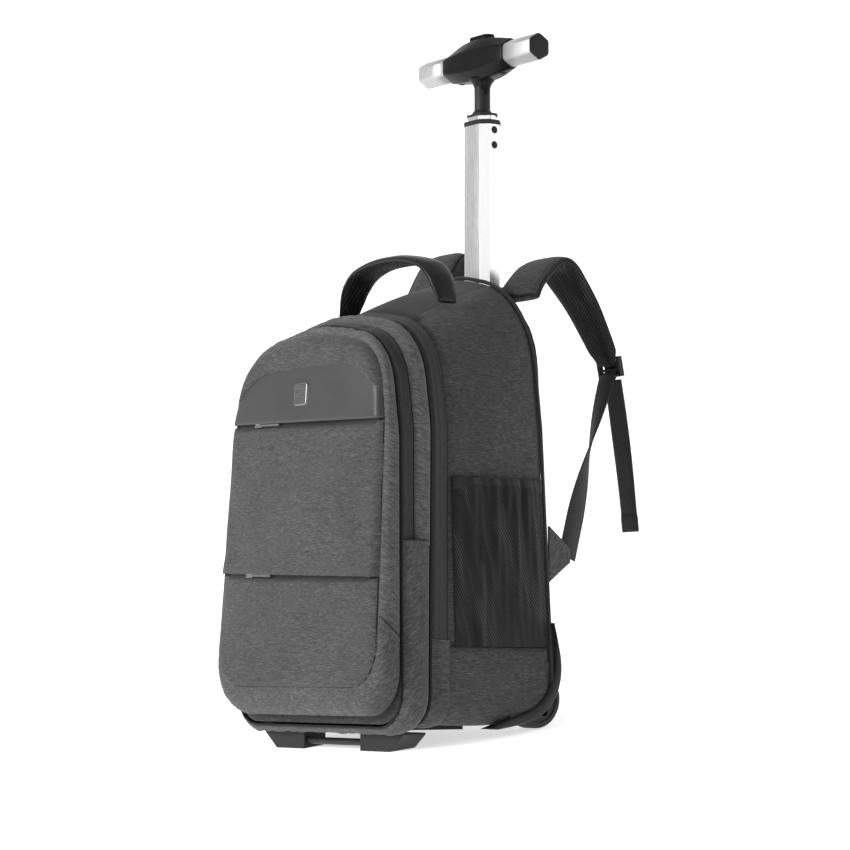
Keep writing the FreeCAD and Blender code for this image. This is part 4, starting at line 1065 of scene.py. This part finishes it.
for name, side in (("right", 1), ("left", -1)):
    def on_mesh(u, v):
        y = MESH_FRONT + (MESH_REAR - MESH_FRONT) * u
        z = MESH_LOW + (MESH_HIGH - MESH_LOW) * v
        return y, z, mesh_reach(u, v)

    def on_binding(u, v):
        y = MESH_FRONT + (MESH_REAR - MESH_FRONT) * u
        sag = -2.5 * math.sin(math.pi * u)
        z = MESH_HIGH - 2.5 + 12.5 * v + sag * (1 - 0.6 * v)
        swell = 1.3 * math.sin(math.pi * v) ** 0.5
        rim = math.sin(math.pi * min(max(u, 0), 1)) ** 0.3
        ribs = 0.35 * math.sin(v * 22)
        return y, z, mesh_reach(u, 1.0) * 0.75 + 1.0 + swell + ribs * rim - 3.0 * v * rim

    mesh_skin = side_sheet(f"mesh_pocket_skin_{name}", side, np.linspace(0, 1, 97),
                           np.linspace(0, 1, 81), on_mesh, "mesh")
    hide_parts(f"mesh_pocket_{name}")
    binding = side_sheet(f"pocket_binding_{name}", side, np.linspace(0, 1, 65),
                         np.linspace(0, 1, 17), on_binding, "binding")
    if side > 0:
        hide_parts("pocket_bindings")
    for edge, edge_name in ((0.0, "front"), (1.0, "rear")):
        path = [(side * (side_half(on_mesh(edge, v)[0], on_mesh(edge, v)[1]) + 1.0),
                 on_mesh(edge, v)[0], on_mesh(edge, v)[1]) for v in np.linspace(0, 1.06, 30)]
        tube(f"mesh_edge_{edge_name}_{name}", path, 0.9, "seam", "case", 6)
    seam_line = []
    for y in np.linspace(-176, -34, 60):
        z = 101.5 + (y + 105) * -0.012
        seam_line.append((side * (side_half(y, z) + 0.2), y, z))
    tube(f"low_side_seam_{name}", seam_line, 0.9, "seam", "case", 6)
    below = np.array(seam_line) - [0, 0, 3.6]
    outward = np.tile([side, 0, 0], (len(below), 1))
    stitches(f"low_side_stitch_{name}", below + [0.5 * side, 0, 0], outward, "thread", "case")


# ---------------------------------------------------------------- padded straps and handle

def strap_skin(name, stations, upper, lower, body, power=0.55, steps=28, split=0.35):
    """A padded strap. stations are (centre, across, outward, half width, half thickness);
    its outer face takes one cloth and its edges and inner face another."""
    points = []
    for centre, across, outward, half, thick in stations:
        for k in range(steps):
            angle = math.tau * k / steps
            c, d = math.cos(angle), math.sin(angle)
            wide = math.copysign(abs(c) ** power, c) * half
            tall = math.copysign(abs(d) ** (power + 0.25), d) * thick
            points.append(np.array(centre) + np.array(across) * wide + np.array(outward) * tall)
    faces = grid_faces(len(stations), steps, wrap_columns=True)
    faces.append(tuple(range(steps)))
    faces.append(tuple(range((len(stations) - 1) * steps, len(stations) * steps)))
    item = make_piece(name, points, faces, upper, body)
    item.data.materials.append(MAT[lower])
    centres = [np.array(to_row(station[0])) for station in stations]
    outwards = [np.array(to_row(np.array(station[0]) + np.array(station[2])))
                - np.array(to_row(station[0])) for station in stations]
    table = np.array(centres)
    for face in item.data.polygons:
        place = np.array(face.center)
        nearest = int(np.argmin(np.linalg.norm(table - place, axis=1)))
        outward = outwards[nearest] / np.linalg.norm(outwards[nearest])
        if (place - table[nearest]) @ outward < stations[nearest][4] * MM * split:
            face.material_index = 1
    return item


STRAP_PATH = [(84, -18, 458, 62), (84, -12, 470, 62), (84, 1, 485, 62), (84, 12, 494, 62),
              (85, 22, 496, 60), (86, 33, 490, 57), (87, 43, 478, 54), (91, 52, 463, 50),
              (95, 60, 447, 46), (103, 72, 415, 38), (107, 75, 402, 34), (109, 76, 392, 30)]


LOCK_X = 110.0            # centre of a ladder lock, across
WEBBING_HALF = 12.5       # half the webbing's width
WEBBING_EDGE = ((-12.5, 0), (-11.6, 0.9), (11.6, 0.9), (12.5, 0), (11.6, -0.9), (-11.6, -0.9))
TAIL_LENGTH = 158
STRAP_THICKNESS = 6.6     # half of it


def strap_line(side, rise):
    """A strap's centre line and its width at each point; rise stretches its arch upwards."""
    table = []
    for x, y, z, width in STRAP_PATH:
        lift = (rise - 1) * max(z - 461, 0) if y < 61 else 0
        table.append((side * x, y, z + lift, width))
    table = np.array(table, float)
    path = spline(table[:, :3], 4.0)
    lengths = np.r_[0, np.cumsum(np.linalg.norm(np.diff(table[:, :3], axis=0), axis=1))]
    at = np.linspace(0, lengths[-1], len(path))
    return path, np.interp(at, lengths, table[:, 3])


for name, side, rise in (("right", 1, 1.0), ("left", -1, 1.65)):
    path, widths = strap_line(side, rise)
    stations = []
    edges = {-1: [], 1: []}
    last = len(path) - 1
    for k, point in enumerate(path):
        before, after = path[max(k - 1, 0)], path[min(k + 1, last)]
        along = np.array([0, after[1] - before[1], after[2] - before[2]])
        along /= np.linalg.norm(along)
        outward = np.array([0, -along[2], along[1]])
        fade = float(min(1.0, 0.35 + (last - k) / 5.0))
        half = widths[k] / 2 * float(min(1.0, 0.72 + 0.28 * (last - k) / 4.0))
        thick = STRAP_THICKNESS * fade
        stations.append((point, (1, 0, 0), outward, half, thick))
        for edge in edges:
            edges[edge].append(point + np.array([edge * half * 0.97, 0, 0]) + outward * thick * 0.5)
    strap = strap_skin(f"shoulder_strap_skin_{name}", stations, "heather_strap", "spacer", "case")
    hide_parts(f"shoulder_strap_{name}")
    for edge, edge_name in ((-1, "inner"), (1, "outer")):
        tube(f"strap_binding_{edge_name}_{name}", edges[edge], 0.9, "piping", "case",
             6)

    # lower webbing, twisting from the ladder lock down to the sewn tab
    start = np.array([side * LOCK_X, 76.4, 379.0])
    end = np.array([side * 139.5, -1.0, 196.0])
    along = (end - start) / np.linalg.norm(end - start)
    points = []
    for share in np.linspace(-0.03, 1.02, 60):
        centre = start + (end - start) * share + np.array([0, -3.0, -5.0]) * math.sin(
            math.pi * np.clip(share, 0, 1))
        turn = side * math.radians(86) * float(smooth(share * 1.25))
        across = np.array([math.cos(turn), -math.sin(turn), 0])
        across = across - along * across.dot(along)
        normal = np.cross(along, across)
        for wide, tall in WEBBING_EDGE:
            points.append(centre + across * wide + normal * tall)
    faces = grid_faces(60, 6, wrap_columns=True) + [tuple(range(6)), tuple(range(354, 360))]
    webbing = make_piece(f"strap_webbing_skin_{name}", points, faces, "webbing", "case")
    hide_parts(f"strap_webbing_{name}")

    # the webbing's short run from the pad through the ladder lock
    points = []
    for y, z in ((74.5, 402), (78.2, 396), (84.6, 392.5), (85.6, 388), (83.4, 384), (79.0, 381),
                 (76.6, 377)):
        for wide in (-WEBBING_HALF, WEBBING_HALF):
            points.append((side * LOCK_X + wide, y, z))
    loop = make_piece(f"ladder_lock_webbing_{name}", points, grid_faces(7, 2), "webbing", "case")
    thicken(loop)

    # the free tail: hangs from the ladder lock, with a folded hem at its end
    top = np.array([side * LOCK_X, 84.5, 378.0])
    drop = np.array([0.0, SIN, -COS])
    rows = []
    for t in np.linspace(0, 1, 54):
        sway = np.array([0.0, 2.4 * math.sin(2.6 * t) - 1.6 * t, 0.0])
        centre = top + drop * TAIL_LENGTH * t + sway
        curl = 0.6 * math.sin(5 * t)
        for u in np.linspace(-1, 1, 9):
            rows.append(centre + np.array([12.4 * u, curl * u + 0.5 * u * u, 0]))
    tail = make_piece(f"strap_tail_skin_{name}", rows, grid_faces(54, 9), "webbing",
                      f"tail_{name}")
    thicken(tail)
    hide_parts(f"strap_tail_{name}")
    hem_rows = []
    foot = np.array(rows[-9:]).reshape(9, 3)
    upper = np.array(rows[-63:-54]).reshape(9, 3)
    for offset, share in ((1.0, 1.0), (1.5, 0.8), (1.5, 0.15), (1.0, -0.02), (-1.0, -0.02),
                          (-1.5, 0.15), (-1.5, 0.8), (-1.0, 1.0)):
        hem_rows.append(foot + (upper - foot) * share + [0, offset, 0])
    hem = make_piece(f"strap_tail_hem_{name}", np.vstack(hem_rows),
                     grid_faces(8, 9, wrap_rows=True), "webbing", f"tail_{name}")

    # the sewn triangular tab that holds the webbing
    border = [(-29.0, 166.5), (-29.0, 222.5), (-14, 210.5), (-2.5, 199.5), (-2.0, 186.5),
              (-14, 178.0)]
    middle = np.mean(border, 0)
    rings = []
    for off, share in ((-1.3, 0.0), (-1.6, 0.05), (-1.7, 0.35)):
        rings.append([(side * (143.5 + off), y + (middle[0] - y) * share,
                       z + (middle[1] - z) * share) for y, z in border])
    rings = rings[::-1] + [[(side * (143.5 + off), y + (middle[0] - y) * share,
                             z + (middle[1] - z) * share) for y, z in border]
                           for off, share in ((1.3, 0.0), (1.6, 0.05), (1.7, 0.35))]
    faces = grid_faces(6, 6, wrap_columns=True) + [tuple(range(6)), tuple(range(30, 36))]
    tab = make_piece(f"strap_tab_{name}", np.vstack(rings), faces, "heather_low", "case")
    if side > 0:
        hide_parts("strap_tabs")
    inset = [(y + (middle[0] - y) * 0.16, z + (middle[1] - z) * 0.16) for y, z in border[1:]]
    for face_off in (-1.75, 1.75):
        line = resample([(side * 143.5 + face_off, y, z) for y, z in inset], 2.0)
        stitches(f"strap_tab_stitch_{name}_{'in' if face_off * side < 0 else 'out'}", line,
                 np.tile([math.copysign(1, face_off), 0, 0], (len(line), 1)), "thread_light",
                 "case")

# grab handle: leatherette over the top, spacer mesh underneath
HANDLE = [(-86, 447, 0.62), (-83, 455, 0.72), (-79, 464, 0.84), (-72, 476, 0.94),
          (-56, 488.5, 1.0), (-28, 495.5, 1.0), (0, 497, 1.0)]
HANDLE = HANDLE + [(-x, z, share) for x, z, share in reversed(HANDLE[:-1])]
table = np.array(HANDLE, float)
path = spline(np.stack([table[:, 0], np.full(len(table), -112.0), table[:, 1]], -1), 3.0)
shares = np.interp(path[:, 0], table[:, 0], table[:, 2])
stations = []
welts = {-1: [], 1: []}
for k, point in enumerate(path):
    before, after = path[max(k - 1, 0)], path[min(k + 1, len(path) - 1)]
    along = (after - before) / np.linalg.norm(after - before)
    outward = np.array([-along[2], 0, along[0]])
    fade = float(min(1.0, 0.45 + min(k, len(path) - 1 - k) / 14.0))
    half = 17.5 * shares[k]
    stations.append((point, (0, 1, 0), outward, half, 5.2 * fade))
    for edge in welts:
        welts[edge].append(point + np.array([0, edge * half * 1.0, 0]) - outward * 1.2 * fade)
handle = strap_skin("grab_handle_skin", stations, "leather_handle", "spacer", "carry_handle",
                    0.7, 28, -0.25)
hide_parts("grab_handle")
for edge, edge_name in ((-1, "front"), (1, "rear")):
    tube(f"grab_handle_welt_{edge_name}", welts[edge], 0.8, "piping", "carry_handle",
         6)


# ---------------------------------------------------------------- rear piping and back cushion

rear_ring = ring(REAR, 1.0, 0.6)
piping_index = [k for k in range(RING_COUNT) if rear_ring[k, 2] > 40]
right = [k for k in piping_index if k < HALF_COUNT]
left = [k for k in piping_index if k >= HALF_COUNT]
piping = tube("rear_piping_cord", tuck(rear_ring[right + left]), 2.0, "piping", "case",
              10)
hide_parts("rear_piping")


def cushion_y(x, z):
    """Rear face of the back cushion: a domed pad with the pole's tunnel down its middle."""
    along = np.clip((z - 62) / 400, 0, 1)
    rise = np.clip(np.sin(math.pi * along), 0, 1) ** 0.5
    across = np.clip(1 - (np.abs(x) / 128.0) ** 2.2, 0, 1) ** 0.5
    dome = -33 + 36 * rise * across
    for line in (150, 250, 350):
        dome = dome - 4.0 * np.exp(-((z - line) / 6.0) ** 2) * across * (np.abs(x) > 40)
    channel = np.exp(-((np.abs(x) - 44) / 5.0) ** 2)
    dome = dome - 4.0 * channel * rise
    ends = smooth((z - 45) / 14) * smooth((468 - z) / 10)
    tunnel = -31 + (20.5 + 31) * ends * np.clip(1 - (np.abs(x) / 36.0) ** 6, 0, 1) ** 0.35
    return np.maximum(dome, tunnel)


border = ring(REAR, -5.0)[:, [0, 2]]
border[:, 1] = np.clip(border[:, 1], 46.0, 466.0)
flat, _, quads = cut_grid(border, 3.0, border[::2])
y = cushion_y(flat[:, 0], flat[:, 1])
cushion = make_piece("back_cushion", np.stack([flat[:, 0], y, flat[:, 1]], -1), quads, "cushion",
                     "case")
paint(cushion, ("heather_side_painted_shade", lambda x, y, z: abs(x) < 37 and z > 40))
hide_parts("back_panel")


# ---------------------------------------------------------------- wheel guards

GUARD = [(-31.5, 126, 0.8), (-27, 112, 3.0), (-23, 96, 5.5), (-21.5, 82, 8.0), (-23, 68, 10.0),
         (-28, 54, 11.5), (-37, 42, 12.0), (-50, 33, 11.0), (-66, 27.5, 9.5), (-84, 24.0, 8.0),
         (-101, 21.5, 5.5)]
guard_table = np.array(GUARD, float)
guard_line = spline(np.stack([np.zeros(len(GUARD)), guard_table[:, 0], guard_table[:, 1]], -1), 3)
guard_width = np.interp(np.linspace(0, len(GUARD) - 1, len(guard_line)), range(len(GUARD)),
                        guard_table[:, 2])
for name, side in (("right", 1), ("left", -1)):
    points = []
    for k, point in enumerate(guard_line):
        before, after = guard_line[max(k - 1, 0)], guard_line[min(k + 1, len(guard_line) - 1)]
        along = (after - before) / np.linalg.norm(after - before)
        inward = np.array([0, along[2], -along[1]])
        width = guard_width[k]
        for x, depth in ((138, 0.0), (153.2, 0.0), (155.6, 1.2), (156.4, 3.0),
                         (156.0, max(width - 1.5, 3.2)), (154.4, max(width, 3.6)),
                         (148, max(width, 3.6)), (140, 2.0)):
            depth = depth * min(1.0, width / 4.0)
            points.append(np.array([side * x, point[1], point[2]]) + inward * depth)
    faces = grid_faces(len(guard_line), 8, wrap_columns=True)
    faces += [tuple(range(8)), tuple(range((len(guard_line) - 1) * 8, len(guard_line) * 8))]
    make_piece(f"wheel_guard_{name}", points, faces, "plastic_foot", "case")


# ---------------------------------------------------------------- T-bar housing and neck

GRIP_Z = 720.0
points = []
columns = 8
xs = np.linspace(-51.5, 51.5, 41)
for x in xs:
    swell = (1 - (abs(x) / 51.5) ** 2.0)
    flat_half = 14.2 + 2.6 * swell ** 0.8
    top = 16.2 + 6.0 * swell ** 1.1
    bottom = 16.2 + 5.2 * swell ** 1.1
    shelf = 1.2 + 8.4 * swell
    mid_top = 7.6 + 2.4 * swell
    mid_low = 7.6 + 3.6 * swell
    for y, z in ((-flat_half, -mid_low), (-shelf, -bottom), (shelf, -bottom),
                 (flat_half, -mid_low), (flat_half, mid_top), (shelf, top), (-shelf, top),
                 (-flat_half, mid_top)):
        points.append((x, y, GRIP_Z + z))
faces = grid_faces(len(xs), columns, wrap_columns=True)
faces += [tuple(range(columns)), tuple(range((len(xs) - 1) * columns, len(xs) * columns))]
housing = make_piece("grip_housing_skin", points, faces, "plastic_grip", "handle_stage")
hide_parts("grip_housing_lower", "grip_housing_upper")
round_edges = housing.modifiers.new("ridges", "BEVEL")
round_edges.width = 0.0034
round_edges.segments = 3
round_edges.angle_limit = math.radians(18)


def rounded_hexagon(radius, corner):
    """A hexagon's points (y, z) with a corner up and every corner rounded."""
    points = []
    for k in range(6):
        angle = math.radians(30 + 60 * k)
        reach = radius - corner / math.cos(math.radians(30))
        for step in range(-3, 4):
            turn = angle + math.radians(10 * step)
            points.append((reach * math.cos(angle) + corner * math.cos(turn),
                           reach * math.sin(angle) + corner * math.sin(turn)))
    return points


HEX = rounded_hexagon(15.2, 5.0)
for side, name in ((1, "right"), (-1, "left")):
    points = []
    for x, share in ((93.5, 0.80), (94.6, 0.94), (95.5, 0.94), (96.1, 0.91), (96.4, 0.86),
                     (96.4, 0.5)):
        points += [(side * x, y * share, GRIP_Z + z * share) for y, z in HEX]
    faces = grid_faces(6, len(HEX), wrap_columns=True) + [tuple(range(5 * len(HEX), 6 * len(HEX)))]
    cap = make_piece(f"grip_cap_{name}", points, faces, "plastic_dark", "handle_stage")
    if side > 0:
        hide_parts("grip_end_caps")
    points = []
    for x, share in ((50.5, 0.9), (50.5, 1.0), (72.0, 1.0), (94.6, 1.0), (95.2, 0.985),
                     (95.3, 0.95), (94.0, 0.93)):
        points += [(side * x, y * share, GRIP_Z + z * share) for y, z in HEX]
    sleeve = make_piece(f"grip_sleeve_skin_{name}", points,
                        grid_faces(7, len(HEX), wrap_columns=True), "aluminium_bar",
                        "handle_stage")
    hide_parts(f"grip_sleeve_{name}")

neck_profile = [(8.7, 684), (8.9, 688), (9.6, 692), (11.2, 695.5), (14.0, 698.6), (15.5, 700.5)]
neck = []
for radius, z in neck_profile:
    for k in range(36):
        angle = math.tau * k / 36
        neck.append((radius * math.cos(angle), radius * 0.86 * math.sin(angle), z))
make_piece("grip_neck", neck, grid_faces(len(neck_profile), 36, wrap_columns=True),
           "plastic_grip", "handle_stage")
for side, name in ((1, "right"), (-1, "left")):
    rim = []
    for radius, z in ((1.0, 699.9), (3.4, 699.3), (4.2, 698.9), (4.6, 699.6)):
        for k in range(24):
            angle = math.tau * k / 24
            rim.append((side * 35 + radius * math.cos(angle), radius * math.sin(angle),
                        z + 3.6))
    make_piece(f"grip_screw_seat_{name}", rim, grid_faces(4, 24, wrap_columns=True),
               "plastic_dark", "handle_stage")


# the two spring buttons that lock the middle tube
TUBE_TOP = 650
BUTTON_X = 19.9
BUTTON = [(-0.4, 4.0), (0.2, 3.9), (0.4, 3.0), (0.5, 1.6), (0.55, 0.2)]
for drop, name in ((6, "upper"), (22, "lower")):
    dome = []
    for off, radius in BUTTON:
        for k in range(24):
            angle = math.tau * k / 24
            dome.append((BUTTON_X + off, radius * math.cos(angle),
                         TUBE_TOP - drop + radius * math.sin(angle)))
    make_piece(f"lock_button_{name}", dome, grid_faces(len(BUTTON), 24, wrap_columns=True),
               "plastic_dark", "middle_stage")


# ---------------------------------------------------------------- hard parts from the frame

dress("aluminium", "outer_tube", "middle_tube", "inner_tube")
dress("aluminium_bar", "grip_sleeve_left", "grip_sleeve_right")
dress("plastic", "base_tray", "tube_collar", "tube_socket", "middle_rim", "middle_bush",
      "inner_bush", "stem", "grip_core", "grip_end_caps", "ladder_lock_left",
      "ladder_lock_right", "back_board", "wheel_core_left", "wheel_core_right",
      "wheel_housing_left", "wheel_housing_right")
dress("plastic_foot", "foot_left", "foot_right", "foot_grab_bar")
dress("plastic_grip", "grip_housing_lower", "grip_housing_upper", "push_button")
dress("steel", "wheel_axles", "bearing_left", "bearing_right", "push_rod")
dress("plastic_dark", "grip_screws")
dress("zip_metal", "upper_slider", "lower_slider", "upper_pull", "lower_pull")
dress("tyre", "tyre_left", "tyre_right")
dress("zip_band", "front_zip_tapes")
dress("cushion", "laptop_divider")


def round_off(width, *names):
    """Softens the sharp edges of CAD nodes that stay, so that they catch the light."""
    for item in names:
        weld = nodes[item].modifiers.new("weld", "WELD")
        weld.merge_threshold = 0.00001
        rounding = nodes[item].modifiers.new("rounding", "BEVEL")
        rounding.width = width * MM
        rounding.segments = 2
        rounding.angle_limit = math.radians(28)
        rounding.harden_normals = False


round_off(0.8, "foot_left", "foot_right", "push_button", "stem")
round_off(0.7, "tube_collar", "middle_rim", "ladder_lock_left", "ladder_lock_right")
round_off(0.5, "middle_tube", "inner_tube")
round_off(0.3, "upper_slider", "lower_slider", "upper_pull", "lower_pull")
round_off(0.8, "wheel_housing_left", "wheel_housing_right", "base_tray")


# ---------------------------------------------------------------- camera, light, floor

LENS = 122.93                                # focal length in mm on a 36 mm sensor
CAMERA_PLACE = (2388.83, -1859.51, 86.65)    # case frame, mm
YAW, PITCH = 0.92937, 0.08169                # radians, turned left of +Y and raised

camera_data = bpy.data.cameras.new("camera")
camera = bpy.data.objects.new("camera", camera_data)
bpy.context.scene.collection.objects.link(camera)
camera_data.sensor_width = 36.0
camera_data.lens = LENS
camera_data.clip_start = 0.1
camera_data.clip_end = 60.0
place = case(*CAMERA_PLACE)
forward = direction(-math.sin(YAW) * math.cos(PITCH), math.cos(YAW) * math.cos(PITCH),
                    math.sin(PITCH))
upward = direction(math.sin(YAW) * math.sin(PITCH), -math.cos(YAW) * math.sin(PITCH),
                   math.cos(PITCH))
across = forward.cross(upward).normalized()
camera.matrix_world = Matrix((
    (across.x, upward.x, -forward.x, place.x), (across.y, upward.y, -forward.y, place.y),
    (across.z, upward.z, -forward.z, place.z), (0, 0, 0, 1)))
bpy.context.scene.camera = camera
bpy.context.scene.view_settings.view_transform = "Standard"

world = bpy.data.worlds.new("studio")
bpy.context.scene.world = world
world.use_nodes = True
world.node_tree.nodes["Background"].inputs["Color"].default_value = (1.0, 1.0, 1.0, 1.0)
world.node_tree.nodes["Background"].inputs["Strength"].default_value = 0.42


def area_light(name, place, target, size, power):
    data = bpy.data.lights.new(name, "AREA")
    data.shape = "RECTANGLE"
    data.size, data.size_y = size
    data.energy = power
    lamp = bpy.data.objects.new(name, data)
    bpy.context.scene.collection.objects.link(lamp)
    lamp.location = place
    aim = Vector(target) - Vector(place)
    lamp.rotation_mode = "QUATERNION"
    lamp.rotation_quaternion = aim.to_track_quat("-Z", "Y")
    return lamp


area_light("key", (-0.6, -2.6, 1.4), (0, 0, 0.3), (1.2, 1.2), 72)
area_light("front", (1.8, -2.4, 1.5), (0, 0, 0.6), (0.8, 1.2), 3.4)
area_light("side", (2.4, 1.75, 0.7), (0, 0, 0.4), (1.2, 1.8), 7.5)
area_light("top", (0.0, 0.5, 2.6), (0, 0, 0.3), (1.8, 1.8), 3)

floor_mesh = bpy.data.meshes.new("floor")
rows = []
profile = [(-6.0, 0.0), (4.0, 0.0), (4.6, 0.05), (5.2, 0.35), (5.6, 0.9), (5.7, 1.6), (5.7, 6.0)]
for x in (-12.0, 12.0):
    rows.append([(x, y, z) for y, z in profile])
floor_points = [point for row in rows for point in row]
floor_mesh.from_pydata(floor_points, [], grid_faces(2, len(profile)))
floor_material, floor_tree, floor_shader = new_material("floor")
speckle = noise(floor_tree, mapped(floor_tree, (1, 1, 1)).outputs["Vector"], 3.0)
floor_tree.links.new(ramp(floor_tree, speckle, [(0.0, 0.88), (1.0, 0.92)]),
                     floor_shader.inputs["Base Color"])
floor_shader.inputs["Roughness"].default_value = 0.9
floor_shader.inputs["Emission Color"].default_value = (1.0, 1.0, 1.0, 1.0)
floor_shader.inputs["Emission Strength"].default_value = 0.6
floor_mesh.materials.append(floor_material)
floor = bpy.data.objects.new("floor", floor_mesh)
bpy.context.scene.collection.objects.link(floor)
floor.rotation_euler = (0, 0, math.radians(45))
